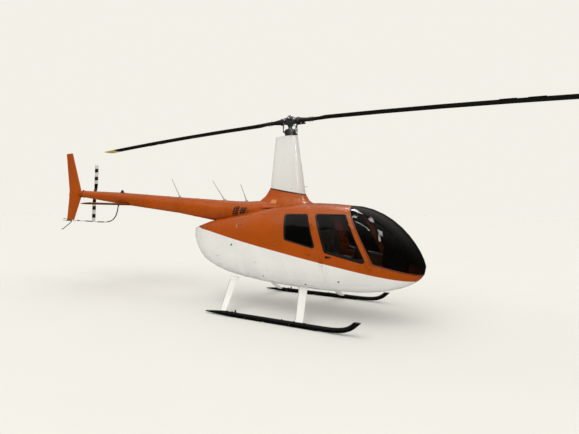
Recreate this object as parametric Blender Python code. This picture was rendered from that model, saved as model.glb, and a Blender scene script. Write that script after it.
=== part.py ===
"""A four-door light helicopter, parked on its skids, as an assembly of closed solids.

Metres, +X towards the nose, +Y to port, +Z up. Every piece is laid out with x measured
forward from the mast and z up from the ground; the origin empty then shifts the whole so
that the world origin is on the ground under the middle of the parked box.
"""
import math

import bmesh
import bpy
from mathutils import Matrix, Vector

# Whole machine
ROTOR_RADIUS = 5.03
TAIL_SKID_TIP = -6.736
MAST_X = -(ROTOR_RADIUS + TAIL_SKID_TIP) / 2
TOUCH = 0.0003
TREAD = 2.261

# Fuselage: the nose is one formula, the rest follows the section table
NOSE_X = 2.20
NOSE_START = 1.10
NOSE_Z = 0.86
TAIL_X = -2.165
TAIL_Z = 1.25
SPLIT_X = -0.60
RING_POINTS = 40
CABIN_WALL = 0.028
COWL_WALL = 0.018
GLASS = 0.006
GLASS_DEPTH = 0.003
NOSE_POWERS = {"crest": 0.71, "belly": 0.44, "half_width": 0.5}

# Sections aft of the nose: x, half width, belly z, crest z, widest z, upper and lower squareness
SECTIONS = (
    (-2.150, 0.030, 1.120, 1.360, 1.25, 2.4, 2.2),
    (-2.060, 0.095, 0.960, 1.390, 1.20, 3.0, 2.2),
    (-1.890, 0.200, 0.770, 1.440, 1.12, 3.6, 2.3),
    (-1.580, 0.345, 0.625, 1.525, 1.05, 4.0, 2.4),
    (-1.310, 0.450, 0.550, 1.565, 1.00, 4.0, 2.5),
    (-1.000, 0.555, 0.500, 1.615, 0.97, 4.0, 2.6),
    (-0.600, 0.655, 0.460, 1.690, 0.95, 3.9, 2.8),
    (-0.200, 0.715, 0.430, 1.778, 0.95, 3.7, 3.0),
    (0.200, 0.735, 0.408, 1.828, 0.95, 3.5, 3.0),
    (0.700, 0.735, 0.395, 1.833, 0.95, 3.4, 3.0),
    (1.100, 0.720, 0.410, 1.795, 0.95, 3.2, 3.0),
)
NOSE_SQUARENESS = 2.1
COWL_STATIONS = (-2.15, -2.12, -2.06, -1.97, -1.85, -1.70, -1.50, -1.25, -1.00, -0.80)
CABIN_STATIONS = (-0.60, -0.30, 0.00, 0.30, 0.60, 0.85, 1.10)
NOSE_STATIONS = (0.15, 0.30, 0.44, 0.57, 0.69, 0.79, 0.87, 0.93, 0.975)

# Windshield: its rear and lower edges as lines in side view, (x, z)
WINDSHIELD_TOP = (1.158, 1.790)
WINDSHIELD_CORNER = (1.549, 0.919)
WINDSHIELD_NOSE = (2.30, 0.708)
BOW_HALF_WIDTH = 0.014

# Doors: corners as (x, z) in side view, clockwise from the top rear
DOOR_GAP = 0.010
DOOR_CORNER_RADIUS = 0.06
WINDOW_CORNER_RADIUS = 0.035
FRONT_DOOR = ((0.640, 1.685), (1.162, 1.675), (1.520, 0.840), (1.450, 0.600), (0.945, 0.585))
FRONT_WINDOW = ((0.690, 1.645), (1.146, 1.637), (1.440, 0.948), (0.882, 1.075))
REAR_DOOR = ((0.130, 1.670), (0.590, 1.685), (0.885, 0.585), (0.260, 0.590), (0.130, 0.900))
REAR_WINDOW = ((0.185, 1.632), (0.548, 1.642), (0.685, 1.115), (0.203, 1.235))
BAGGAGE_DOOR = ((-0.500, 1.080), (-0.060, 1.060), (-0.060, 0.640), (-0.500, 0.660))

# Hinges: a leaf on each side of the pin, its length, its pin radius and how far it stands off
HINGE_LENGTH = 0.045
HINGE_RADIUS = 0.009
HINGE_STANDOFF = 0.014
HINGE_DEPTH = 0.034
HINGE_WIDTH = 0.024
HINGE_HEIGHTS = (0.90, 1.46)
BAGGAGE_HINGE_HEIGHTS = (0.74, 0.97)

# Tail boom: x, centre z, radius
BOOM = ((-1.500, 1.702, 0.220), (-2.600, 1.831, 0.172), (-4.420, 2.010, 0.140), (-5.812, 2.146, 0.085))
BOOM_WALL = 0.005
BOOM_SIDES = 24
BOOM_REAR_X = BOOM[-1][0]

# Engine tunnel on the roof: x, half width, crest z
TUNNEL = (
    (-1.499, 0.222, 1.925),
    (-1.200, 0.245, 1.900),
    (-0.850, 0.285, 1.885),
    (-0.450, 0.330, 1.900),
    (0.000, 0.330, 1.905),
    (0.280, 0.230, 1.885),
    (0.440, 0.100, 1.840),
)
TUNNEL_AXIS_Z = 1.703
PYLON_WALL = 0.016

# Pylon foot and mast fairing: level at the mast, rear x, front x, half width, slope of the level
PYLON = (
    (1.760, -0.900, 0.560, 0.400, 0.00),
    (1.850, -0.640, 0.430, 0.270, -0.05),
    (1.930, -0.500, 0.350, 0.210, -0.12),
    (2.053, -0.405, 0.285, 0.175, -0.193),
)
FAIRING = (
    (2.0535, -0.400, 0.280, 0.170, -0.193),
    (2.400, -0.365, 0.235, 0.150, -0.12),
    (3.070, -0.290, 0.140, 0.105, 0.00),
)
FAIRING_WALL = 0.012
FAIRING_POINTS = 28

# Pitot tube: height, tip x, radius
PITOT = (2.140, 0.330, 0.008)

# Mast and rotor head
MAST_FOOT_Z = 1.620
MAST_TUBE_RADIUS = 0.060
SHAFT_RADIUS = 0.036
SHAFT_CLEARANCE = 0.010
LOWER_PLATE = (0.098, 0.030)
UPPER_PLATE = (0.107, 0.095)
HEAD_Z = 3.368
HUB_TOP_Z = 3.480
HUB_REACH = 0.135
HUB_HALF_WIDTH = 0.055
HUB_BELOW = 0.068
HUB_ABOVE = 0.075
HUB_EDGE = 0.022
TEETER_BOLT = (0.095, 0.030, 0.012)
CAP_RADIUS = 0.050

# Main blades: drop of the blade line by reach and by reach squared, and the rotor's tilt at rest
BLADE_CHORD = 0.254
BLADE_THICKNESS = 0.030
DROOP = (0.0159, 0.0055)
TEETER = 0.007

# Pitch links and horns: the link's place, the horn's depth along the blade, its bottom and height
LINK_X = 0.060
LINK_Y = 0.177
LINK_RADIUS = 0.009
HORN_X = (0.195, 0.230)
HORN_HALF_WIDTH = 0.013
HORN_BOTTOM_Z = 3.330
HORN_HEIGHT = 0.020

# Tail rotor
TAIL_HUB = (-5.858, 0.359, 2.186)
TAIL_RADIUS = 0.762
TAIL_CHORD = 0.140
TAIL_THICKNESS = 0.018
TAIL_CASE_RADIUS = 0.045
TAIL_CASE_END_Y = 0.190

# Fin: z, leading edge x, trailing edge x
FIN = (
    (1.471, -6.216, -6.505),
    (2.030, -5.974, -6.452),
    (2.270, -5.974, -6.447),
    (3.262, -6.375, -6.633),
)
FIN_THICKNESS = 0.055

# Guard tube: its radius, the shoe under the fin and the tail skid's line aft of it, (x, z)
GUARD_RADIUS = 0.013
GUARD_SHOE_X = (-6.500, -6.170)
GUARD_SHOE_Z = 1.440
TAIL_SKID_RADIUS = 0.011
TAIL_SKID_PATH = ((-6.300, 1.450), (-6.360, 1.395), (-6.600, 1.260), (-6.660, 1.225), (-6.720, 1.215))

# Guard tube under the tail rotor, (x, z) from the boom to the fin's foot
GUARD_PATH = (
    (-4.522, 1.890),
    (-4.572, 1.680),
    (-4.615, 1.585),
    (-4.690, 1.505),
    (-4.800, 1.452),
    (-4.950, 1.430),
    (-5.200, 1.430),
    (-5.600, 1.443),
)

# Stabilizer under the boom
STABILIZER_LEADING_X = -4.050
STABILIZER_CHORD = 0.440
STABILIZER_HALF_SPAN = 1.100
STABILIZER_Z = 1.860
STABILIZER_THICKNESS = 0.048
STABILIZER_TIP_SHARE = 0.85

# Beacon on the boom: x, top z, radius
BEACON = (-4.409, 2.210, 0.030)

# Whip aerials by what carries them: foot x, tip x, tip z
AERIALS = {
    "boom": ((-2.606, -2.848, 2.412),),
    "tunnel": ((-1.440, -1.746, 2.330), (-0.928, -1.066, 2.227)),
}
AERIAL_RADIUS = 0.006
AERIAL_SINK = 0.010

# Skids and legs
SKID_RADIUS = 0.035
SKID_CENTRE_Z = 0.041
SKID_PATH = ((-1.070, 0.045), (-0.90, 0.041), (0.90, 0.041), (1.14, 0.047), (1.30, 0.085), (1.46, 0.165))
SKID_TAIL_CUT = ((-1.30, 0.081), (-1.073, 0.081), (-0.985, -0.005), (-1.30, -0.005))
SHOE = (-0.85, 0.95, 0.040)
SHOE_HEIGHT = 0.020
LEGS = {"front": (0.437, 0.600), "rear": (-0.885, -0.725)}
LEG_TOP_Y = 0.48
LEG_TOP_Z = 0.52
LEG_CHORD = (0.150, 0.115)
LEG_THICKNESS = 0.040

# Cabin inside: the plates, and the gearbox corners as (x, y)
PLATE = 0.018
FIREWALL_THICKNESS = 0.0187
FLOOR_Z = 0.555
FLOOR_FRONT_X = 1.950
BULKHEAD_X = 0.085
DECK_Z = 1.142
CABIN_SIDE = 0.900
CABIN_TOP = 1.900
GEARBOX = ((-0.240, -0.170), (0.080, 0.170))

# Seats: cushion underside, front and rear x, outer y, and the gap between the front pair
SEAT_BASE_Z = 0.740
SEAT_BACK_Z = 1.420
FRONT_SEAT_X = (0.680, 1.170)
REAR_SEAT_X = (0.105, 0.600)
FRONT_SEAT_Y = (0.070, 0.550)
REAR_SEAT_Y = 0.590

# Instrument console in side view and its half width, and the stick: foot, head, bar height, half bar
CONSOLE = (
    (1.580, 0.5553),
    (1.860, 0.5553),
    (1.950, 0.800),
    (1.900, 1.130),
    (1.800, 1.240),
    (1.660, 1.260),
    (1.600, 1.000),
)
CONSOLE_HALF_WIDTH = 0.160
STICK_FOOT_X = 1.300
STICK_HEAD = (1.240, 1.060)
STICK_BAR_Z = 1.045
STICK_BAR_HALF = 0.400

# Engine block corners, and the exhaust from it to below the port bilge
ENGINE = ((-1.360, -0.210, 0.930), (-0.5943, 0.210, 1.380))
EXHAUST = ((-1.200, 0.080, 0.970), (-1.420, 0.300, 0.500))
EXHAUST_RADIUS = 0.085

# Colours, linear
ORANGE = (0.52, 0.13, 0.025)
WHITE = (0.78, 0.78, 0.75)
BLACK = (0.012, 0.012, 0.013)
DARK_GREY = (0.06, 0.06, 0.065)
STEEL = (0.45, 0.45, 0.46)
TINT = (0.02, 0.022, 0.025)
LEATHER = (0.10, 0.075, 0.06)
LAMP_RED = (0.5, 0.02, 0.02)


def clear_scene():
    for item in list(bpy.data.objects):
        bpy.data.objects.remove(item)


def new_collection(name):
    group = bpy.data.collections.new(name)
    bpy.context.scene.collection.children.link(group)
    return group


def paint(name, colour, roughness, metallic=0.0, alpha=1.0):
    made = bpy.data.materials.new(name)
    made.use_nodes = True
    shader = made.node_tree.nodes["Principled BSDF"]
    shader.inputs["Base Color"].default_value = (*colour, 1.0)
    shader.inputs["Roughness"].default_value = roughness
    shader.inputs["Metallic"].default_value = metallic
    shader.inputs["Alpha"].default_value = alpha
    return made


clear_scene()
PARTS = new_collection("helicopter")
CUTTERS = new_collection("cutters")
ORIGIN = bpy.data.objects.new("ground_under_the_mast", None)
ORIGIN.location = (MAST_X, 0.0, 0.0)
PARTS.objects.link(ORIGIN)


def place(name, mesh, group, finish=None):
    made = bpy.data.objects.new(name, mesh)
    group.objects.link(made)
    made.parent = ORIGIN
    if finish:
        mesh.materials.append(finish)
    if group is CUTTERS:
        made.hide_render = True
        made.display_type = "WIRE"
    return made


def part(name, mesh, colour, roughness=0.35, metallic=0.0, alpha=1.0, carrier=None):
    """A piece of the helicopter; one that moves hangs on the empty on its joint's axis."""
    finish = paint(name, colour, roughness, metallic, alpha)
    made = place(name, mesh, PARTS, finish)
    if carrier:
        made.parent = carrier
        made.location = -carrier.location
    return made


def pivot(name, point):
    """An empty on a joint's axis."""
    made = bpy.data.objects.new(name, None)
    made.location = point
    made.parent = ORIGIN
    PARTS.objects.link(made)
    return made


def cutter(name, mesh):
    return place(name, mesh, CUTTERS)


def smooth(mesh, angle=40.0):
    mesh.shade_smooth()
    mesh.set_sharp_from_angle(angle=math.radians(angle))
    return mesh


def finish_mesh(name, bm, angle=40.0):
    bmesh.ops.recalc_face_normals(bm, faces=bm.faces[:])
    mesh = bpy.data.meshes.new(name)
    bm.to_mesh(mesh)
    bm.free()
    return smooth(mesh, angle)


def boolean(target, tool, operation):
    step = target.modifiers.new(operation.lower(), "BOOLEAN")
    step.operation = operation
    step.object = tool
    return step


# Shape helpers

def loft(name, rings, start_pole=None, end_pole=None, closed=True):
    """Skin a run of rings; each end gets a pole, a flat cap, or stays open."""
    bm = bmesh.new()
    rows = [[bm.verts.new(point) for point in ring] for ring in rings]
    for low, high in zip(rows, rows[1:]):
        for i, corner in enumerate(low):
            following = (i + 1) % len(low)
            bm.faces.new((corner, low[following], high[following], high[i]))
    for row, pole in ((rows[0], start_pole), (rows[-1], end_pole)):
        if pole:
            tip = bm.verts.new(pole)
            for i, corner in enumerate(row):
                bm.faces.new((corner, row[(i + 1) % len(row)], tip))
        elif closed:
            bm.faces.new(row)
    return finish_mesh(name, bm)


def box(name, low, high, bevel=0.0):
    bm = bmesh.new()
    bmesh.ops.create_cube(bm, size=1.0)
    size = [b - a for a, b in zip(low, high)]
    centre = [(a + b) / 2 for a, b in zip(low, high)]
    bmesh.ops.scale(bm, vec=size, verts=bm.verts[:])
    bmesh.ops.translate(bm, vec=centre, verts=bm.verts[:])
    if bevel:
        bmesh.ops.bevel(bm, geom=bm.edges[:], offset=bevel, segments=2, profile=0.5, affect="EDGES")
    return finish_mesh(name, bm)


def rod(name, start, end, radius, sides=16, end_radius=None):
    """A cylinder or cone between two points."""
    start, end = Vector(start), Vector(end)
    span = end - start
    bm = bmesh.new()
    far = radius if end_radius is None else end_radius
    bmesh.ops.create_cone(bm, cap_ends=True, segments=sides, radius1=radius, radius2=far, depth=span.length)
    turn = Vector((0, 0, 1)).rotation_difference(span).to_matrix().to_4x4()
    bmesh.ops.transform(bm, matrix=Matrix.Translation((start + end) / 2) @ turn, verts=bm.verts[:])
    return finish_mesh(name, bm)


def pipe(name, start, end, radius, bore, sides=24):
    """A straight tube, open at both ends."""
    outer = place(name + "_outer", rod(name, start, end, radius, sides), CUTTERS)
    start, end = Vector(start), Vector(end)
    along = (end - start).normalized() * 0.05
    inner = cutter(name + "_bore", rod(name + "_bore", start - along, end + along, bore, sides))
    boolean(outer, inner, "DIFFERENCE")
    return evaluated(outer, name)


def evaluated(source, name):
    """The source object's mesh after its modifiers; the source is then removed."""
    graph = bpy.context.evaluated_depsgraph_get()
    graph.update()
    mesh = bpy.data.meshes.new_from_object(source.evaluated_get(graph))
    mesh.name = name
    bm = bmesh.new()
    bm.from_mesh(mesh)
    bmesh.ops.remove_doubles(bm, verts=bm.verts[:], dist=0.00002)
    bm.to_mesh(mesh)
    bm.free()
    bpy.data.objects.remove(source)
    return mesh


def bent_tube(name, points, radius, sides_level=2):
    """A tube along a smooth line through the points, as a welded mesh."""
    line = bpy.data.curves.new(name, "CURVE")
    line.dimensions = "3D"
    line.bevel_depth = radius
    line.bevel_resolution = sides_level
    line.use_fill_caps = True
    spline = line.splines.new("POLY")
    spline.points.add(len(points) - 1)
    for slot, point in zip(spline.points, points):
        slot.co = (*point, 1.0)
    source = bpy.data.objects.new(name, line)
    CUTTERS.objects.link(source)
    return smooth(evaluated(source, name))


def rounded(corners, radius, inset=0.0, steps=3):
    """The convex outline moved inwards by inset, with an arc at each corner."""
    count = len(corners)
    spin = sum(
        (b[0] - a[0]) * (b[1] + a[1]) for a, b in zip(corners, corners[1:] + corners[:1])
    )
    inward = 1.0 if spin < 0 else -1.0
    lines = []
    for i in range(count):
        a = Vector(corners[i])
        b = Vector(corners[(i + 1) % count])
        along = (b - a).normalized()
        normal = Vector((-along.y, along.x)) * inward
        lines.append((a + normal * inset, along))
    outline = []
    for i in range(count):
        p, d = lines[i - 1]
        q, e = lines[i]
        cross = d.x * e.y - d.y * e.x
        reach = ((q.x - p.x) * e.y - (q.y - p.y) * e.x) / cross
        corner = p + d * reach
        half = d.angle(e) / 2
        back = radius * math.tan(half)
        start = corner - d * back
        middle = corner + (e - d).normalized() * radius / math.cos(half)
        sweep = d.angle_signed(e)
        spoke = start - middle
        for k in range(steps + 1):
            turned = spoke.copy()
            turned.rotate(Matrix.Rotation(-sweep * k / steps, 2))
            outline.append(middle + turned)
    return outline


def side_prism(name, outline, near, far, side):
    """A side-view outline pushed through from one distance off centre to another."""
    bm = bmesh.new()
    face = bm.faces.new([bm.verts.new((p[0], side * near, p[1])) for p in outline])
    grown = bmesh.ops.extrude_face_region(bm, geom=[face])
    moved = [item for item in grown["geom"] if isinstance(item, bmesh.types.BMVert)]
    bmesh.ops.translate(bm, vec=(0, side * (far - near), 0), verts=moved)
    return finish_mesh(name, bm)


# Fuselage surface

def section_values(x):
    """Half width, belly, crest, widest z, upper and lower squareness at x."""
    if x >= NOSE_START:
        reach = (x - NOSE_START) / (NOSE_X - NOSE_START)
        left = max(0.0, 1.0 - reach * reach)
        _, wide, belly, crest, middle, upper, lower = SECTIONS[-1]
        return (
            wide * left ** NOSE_POWERS["half_width"],
            NOSE_Z - (NOSE_Z - belly) * left ** NOSE_POWERS["belly"],
            NOSE_Z + (crest - NOSE_Z) * left ** NOSE_POWERS["crest"],
            NOSE_Z + (middle - NOSE_Z) * left,
            NOSE_SQUARENESS + (upper - NOSE_SQUARENESS) * left,
            NOSE_SQUARENESS + (lower - NOSE_SQUARENESS) * left,
        )
    index = max(i for i, row in enumerate(SECTIONS) if row[0] <= x + 1e-9)
    index = min(index, len(SECTIONS) - 2)
    low, high = SECTIONS[index], SECTIONS[index + 1]
    before = SECTIONS[max(index - 1, 0)]
    after = SECTIONS[min(index + 2, len(SECTIONS) - 1)]
    step = high[0] - low[0]
    t = (x - low[0]) / step
    values = []
    for k in range(1, 7):
        rise_low = (high[k] - before[k]) / (high[0] - before[0]) * step
        rise_high = (after[k] - low[k]) / (after[0] - low[0]) * step
        values.append(
            (2 * t**3 - 3 * t**2 + 1) * low[k]
            + (t**3 - 2 * t**2 + t) * rise_low
            + (3 * t**2 - 2 * t**3) * high[k]
            + (t**3 - t**2) * rise_high
        )
    return tuple(values)


def section(x, inset=0.0):
    wide, belly, crest, middle, upper, lower = section_values(x)
    ring = []
    for i in range(RING_POINTS):
        angle = math.tau * (i + 0.5) / RING_POINTS
        c, s = math.cos(angle), math.sin(angle)
        square = upper if s > 0 else lower
        height = crest - inset - middle if s > 0 else middle - belly - inset
        y = (wide - inset) * math.copysign(abs(c) ** (2 / square), c)
        z = middle + height * math.copysign(abs(s) ** (2 / square), s)
        ring.append((x, y, z))
    return ring


def nose_rings(inset):
    rings = []
    for reach in NOSE_STATIONS:
        ring = section(NOSE_START + (NOSE_X - NOSE_START) * reach, inset)
        shorter = NOSE_START + (NOSE_X - inset - NOSE_START) * reach
        rings.append([(shorter, y, z) for _, y, z in ring])
    return rings


def cabin_body(name, inset=0.0, rear=SPLIT_X + TOUCH):
    """The closed cabin form from the split forward, its skin moved in by inset."""
    rings = [[(rear, y, z) for _, y, z in section(CABIN_STATIONS[0], inset)]]
    rings += [section(x, inset) for x in CABIN_STATIONS[1:]]
    rings += nose_rings(inset)
    return loft(name, rings, end_pole=(NOSE_X - inset, 0.0, NOSE_Z))


def cowl_body(name, inset=0.0, front=SPLIT_X, first=0):
    """The closed aft form, its skin moved in by inset; first skips the thin stations."""
    rings = [section(x, inset) for x in COWL_STATIONS[first:]]
    rings.append([(front, y, z) for _, y, z in section(SPLIT_X, inset)])
    pole = None if first else (TAIL_X, 0.0, TAIL_Z)
    return loft(name, rings, start_pole=pole)


def whole_body(name, inset=0.0):
    rings = [section(x, inset) for x in COWL_STATIONS + CABIN_STATIONS]
    rings += nose_rings(inset)
    return loft(name, rings, start_pole=(TAIL_X, 0, TAIL_Z), end_pole=(NOSE_X - inset, 0, NOSE_Z))


def skin_y(x, z):
    """Distance of the outer skin from the centre plane at a place in side view."""
    wide, belly, crest, middle, upper, lower = section_values(x)
    share, square = (
        ((z - middle) / (crest - middle), upper) if z > middle else ((middle - z) / (middle - belly), lower)
    )
    return wide * max(0.0, 1.0 - abs(share) ** square) ** (1 / square)


# Cabin shell, glass and doors

def windshield_outline(back=0.0, down=0.0):
    top, corner, nose = WINDSHIELD_TOP, WINDSHIELD_CORNER, WINDSHIELD_NOSE
    edge = (Vector(top) - Vector(corner)).normalized()
    raised = Vector(corner) + edge * 1.4
    return (
        (raised.x - back, raised.y),
        (nose[0] + 0.2, raised.y),
        (nose[0] + 0.2, nose[1] - 0.056 - down),
        (corner[0] - back, corner[1] - down),
    )


def hinge_line(top, bottom, side, heights):
    """Two points of a hinge line just outside the skin, in front of a door's front edge."""
    ahead = DOOR_GAP / 2
    points = []
    for z in heights:
        share = (z - bottom[1]) / (top[1] - bottom[1])
        x = bottom[0] + (top[0] - bottom[0]) * share - ahead
        points.append(Vector((x, skin_y(x, z) + HINGE_STANDOFF, z)))
    low, high = points
    bulge = 0.0
    for step in range(1, 10):
        on_line = low.lerp(high, step / 10)
        bulge = max(bulge, skin_y(on_line.x, on_line.z) - on_line.y)
    lift = Vector((0, max(0.0, bulge), 0))
    low, high = low + lift, high + lift
    return Vector((low.x, side * low.y, low.z)), Vector((high.x, side * high.y, high.z))


def hinge_leaf(bm, centre, pin, side, forward):
    """A leaf round the pin: a rolled knuckle and a flat leg that reaches into the skin."""
    back = Vector((0, side, 0)).cross(pin).normalized()
    if back.x > 0:
        back = -back
    out = pin.cross(back).normalized()
    if out.y * side < 0:
        out = -out
    hand = -1.0 if forward else 1.0
    profile = []
    for degrees in (280, 245, 210, 175, 140, 105, 70, 45):
        angle = math.radians(degrees)
        profile.append((HINGE_RADIUS * math.cos(angle), HINGE_RADIUS * math.sin(angle)))
    reach = HINGE_DEPTH
    profile += [(HINGE_WIDTH, -0.004), (HINGE_WIDTH, -reach), (profile[0][0], -reach)]
    shift = -1 if forward else 1
    start = centre + pin * shift * (HINGE_LENGTH / 2 + TOUCH / 2) - pin * HINGE_LENGTH / 2
    low = [bm.verts.new(start + back * a * hand + out * n) for a, n in profile]
    high = [bm.verts.new(v.co + pin * HINGE_LENGTH) for v in low]
    bm.faces.new(low)
    bm.faces.new(high[::-1])
    for i in range(len(low)):
        j = (i + 1) % len(low)
        bm.faces.new((low[i], high[i], high[j], low[j]))


def leaves(name, hinges, forward):
    bm = bmesh.new()
    for centre, pin, side in hinges:
        hinge_leaf(bm, centre, pin, side, forward)
    return finish_mesh(name, bm)


def door_hinges(top, bottom, side, heights):
    low, high = hinge_line(top, bottom, side, heights)
    pin = (high - low).normalized()
    return [(low, pin, side), (high, pin, side)]


# Doors: outline, window, top and bottom of the hinged edge, hinge heights
DOORS = {
    "front": (FRONT_DOOR, FRONT_WINDOW, FRONT_DOOR[1], FRONT_DOOR[2], HINGE_HEIGHTS),
    "rear": (REAR_DOOR, REAR_WINDOW, REAR_DOOR[1], REAR_DOOR[2], HINGE_HEIGHTS),
}
SIDES = {"right": -1, "left": 1}


def door_shape(name, outline, wall):
    """The piece of the cabin skin inside the outline."""
    source = place(name + "_skin", cabin_body(name), CUTTERS)
    boolean(source, wall, "DIFFERENCE")
    boolean(source, outline, "INTERSECT")
    return source


def door(place_name, side_name, wall, glass_outer, glass_inner):
    corners, window, top, bottom, heights = DOORS[place_name]
    side = SIDES[side_name]
    name = f"{place_name}_door_{side_name}"
    outline = rounded(corners, DOOR_CORNER_RADIUS, DOOR_GAP)
    hole = rounded(window, WINDOW_CORNER_RADIUS)
    pane = rounded(window, WINDOW_CORNER_RADIUS, 0.0004)
    panel_tool = cutter(name + "_outline", side_prism(name, outline, 0.30, 1.0, side))
    hole_tool = cutter(name + "_hole", side_prism(name, hole, 0.25, 1.05, side))
    pane_tool = cutter(name + "_pane", side_prism(name, pane, 0.28, 1.02, side))
    source = door_shape(name, panel_tool, wall)
    boolean(source, hole_tool, "DIFFERENCE")
    hinges = door_hinges(top, bottom, side, heights)
    leaf_tool = cutter(name + "_leaves", leaves(name, hinges, forward=False))
    boolean(source, leaf_tool, "UNION")
    axis = pivot(name + "_pivot", hinges[0][0])
    part(name, evaluated(source, name), ORANGE, 0.25, carrier=axis)
    glass = place(name + "_glass", glass_outer.data.copy(), CUTTERS)
    boolean(glass, glass_inner, "DIFFERENCE")
    boolean(glass, pane_tool, "INTERSECT")
    pane_mesh = evaluated(glass, name + "_glass")
    part(f"{place_name}_window_{side_name}", pane_mesh, TINT, 0.05, alpha=0.35, carrier=axis)
    return hinges


def baggage_door(wall):
    name = "baggage_door"
    outline = rounded(BAGGAGE_DOOR, DOOR_CORNER_RADIUS, DOOR_GAP)
    tool = cutter(name + "_outline", side_prism(name, outline, 0.30, 1.0, 1))
    source = door_shape(name, tool, wall)
    hinges = door_hinges(BAGGAGE_DOOR[1], BAGGAGE_DOOR[2], 1, BAGGAGE_HINGE_HEIGHTS)
    leaf_tool = cutter(name + "_leaves", leaves(name, hinges, forward=False))
    boolean(source, leaf_tool, "UNION")
    axis = pivot(name + "_pivot", hinges[0][0])
    part(name, evaluated(source, name), WHITE, 0.25, carrier=axis)
    return hinges


def door_openings():
    """One cutter for each hole that a door closes."""
    tools = []
    for place_name, (corners, *_) in DOORS.items():
        for side_name, side in SIDES.items():
            name = f"{place_name}_opening_{side_name}"
            tools.append(cutter(name, side_prism(name, rounded(corners, DOOR_CORNER_RADIUS), 0.3, 1.0, side)))
    name = "baggage_opening"
    tools.append(cutter(name, side_prism(name, rounded(BAGGAGE_DOOR, DOOR_CORNER_RADIUS), 0.3, 1.0, 1)))
    return tools


def cabin_shell(wall, hinges):
    source = place("cabin_source", cabin_body("cabin_source"), CUTTERS)
    boolean(source, wall, "DIFFERENCE")
    for tool in door_openings():
        boolean(source, tool, "DIFFERENCE")
    screen = cutter("windshield_opening", side_prism("screen", windshield_outline(), -1.0, 1.0, 1))
    boolean(source, screen, "DIFFERENCE")
    mast_hole = cutter("mast_hole", rod("mast_hole", (0, 0, 1.60), (0, 0, 2.0), 0.10, 24))
    boolean(source, mast_hole, "DIFFERENCE")
    fixed = cutter("fixed_leaves", leaves("fixed_leaves", hinges, forward=True))
    boolean(source, fixed, "UNION")
    part("cabin_shell", evaluated(source, "cabin_shell"), ORANGE, 0.25)


def windshield(glass_outer, glass_inner, wall):
    inset = TOUCH
    for side_name, side in SIDES.items():
        outline = windshield_outline(-inset, -inset)
        tool = cutter(
            f"windshield_half_{side_name}",
            side_prism("half", outline, BOW_HALF_WIDTH + TOUCH, 1.0, side),
        )
        glass = place("pane", glass_outer.data.copy(), CUTTERS)
        boolean(glass, glass_inner, "DIFFERENCE")
        boolean(glass, tool, "INTERSECT")
        part(f"windshield_{side_name}", evaluated(glass, "windshield"), TINT, 0.05, alpha=0.35)
    strip = cutter(
        "bow_strip", side_prism("strip", windshield_outline(-inset, -inset), -BOW_HALF_WIDTH, BOW_HALF_WIDTH, 1)
    )
    bow = place("bow_source", cabin_body("bow", 0.0), CUTTERS)
    boolean(bow, wall, "DIFFERENCE")
    boolean(bow, strip, "INTERSECT")
    part("windshield_bow", evaluated(bow, "windshield_bow"), BLACK, 0.4)


def make_cabin():
    wall = cutter("cabin_hollow", cabin_body("cabin_hollow", CABIN_WALL, SPLIT_X - 0.1))
    glass_outer = cutter("glass_outer", cabin_body("glass_outer", GLASS_DEPTH))
    glass_inner = cutter("glass_inner", cabin_body("glass_inner", GLASS_DEPTH + GLASS, SPLIT_X - 0.1))
    hinges = []
    for place_name in DOORS:
        for side_name in SIDES:
            hinges += door(place_name, side_name, wall, glass_outer, glass_inner)
    hinges += baggage_door(wall)
    cabin_shell(wall, hinges)
    windshield(glass_outer, glass_inner, wall)
    return hinges


# Inside the cabin

def inner_plate(name, low, high, colour, lining):
    """A flat plate trimmed to the inside of the cabin skin."""
    source = place(name + "_source", box(name, low, high), CUTTERS)
    boolean(source, lining, "INTERSECT")
    part(name, evaluated(source, name), colour, 0.6)


def make_inside(lining):
    """Plates are drawn wider and taller than the cabin, and the lining trims them."""
    wide = CABIN_SIDE
    wall_x = SPLIT_X + TOUCH * 20
    rear_x = wall_x + FIREWALL_THICKNESS
    deck_top = DECK_Z + PLATE
    plates = (
        ("cabin_floor", (rear_x + TOUCH, -wide, FLOOR_Z - PLATE), (FLOOR_FRONT_X, wide, FLOOR_Z), DARK_GREY),
        ("rear_bulkhead", (BULKHEAD_X, -wide, FLOOR_Z + TOUCH), (BULKHEAD_X + PLATE, wide, CABIN_TOP), LEATHER),
        ("firewall", (wall_x, -wide, 0.0), (rear_x, wide, CABIN_TOP), STEEL),
        ("gearbox_deck", (rear_x + TOUCH, -wide, DECK_Z), (BULKHEAD_X - TOUCH, wide, deck_top), DARK_GREY),
    )
    for name, low, high, colour in plates:
        inner_plate(name, low, high, colour, lining)
    low, high = GEARBOX
    part("main_gearbox", box("main_gearbox", (*low, deck_top + TOUCH), (*high, MAST_FOOT_Z), 0.02), STEEL, 0.5, 0.8)
    part("engine_block", box("engine_block", *ENGINE), STEEL, 0.5, 0.8)


def seat_profile(front, rear, floor, cushion, back_top, lean):
    """Side view of a seat: cushion and leaning back, (x, z)."""
    return (
        (rear + 0.02, floor),
        (front - 0.02, floor),
        (front, cushion - 0.05),
        (front - 0.03, cushion),
        (rear + 0.13, cushion - 0.02),
        (rear + 0.12 - lean, back_top - 0.03),
        (rear + 0.09 - lean, back_top),
        (rear + 0.04 - lean, back_top),
        (rear, cushion - 0.02),
    )


def seat(name, outline, near, far):
    part(name, side_prism(name, outline, near, far, 1), LEATHER, 0.6)


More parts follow.
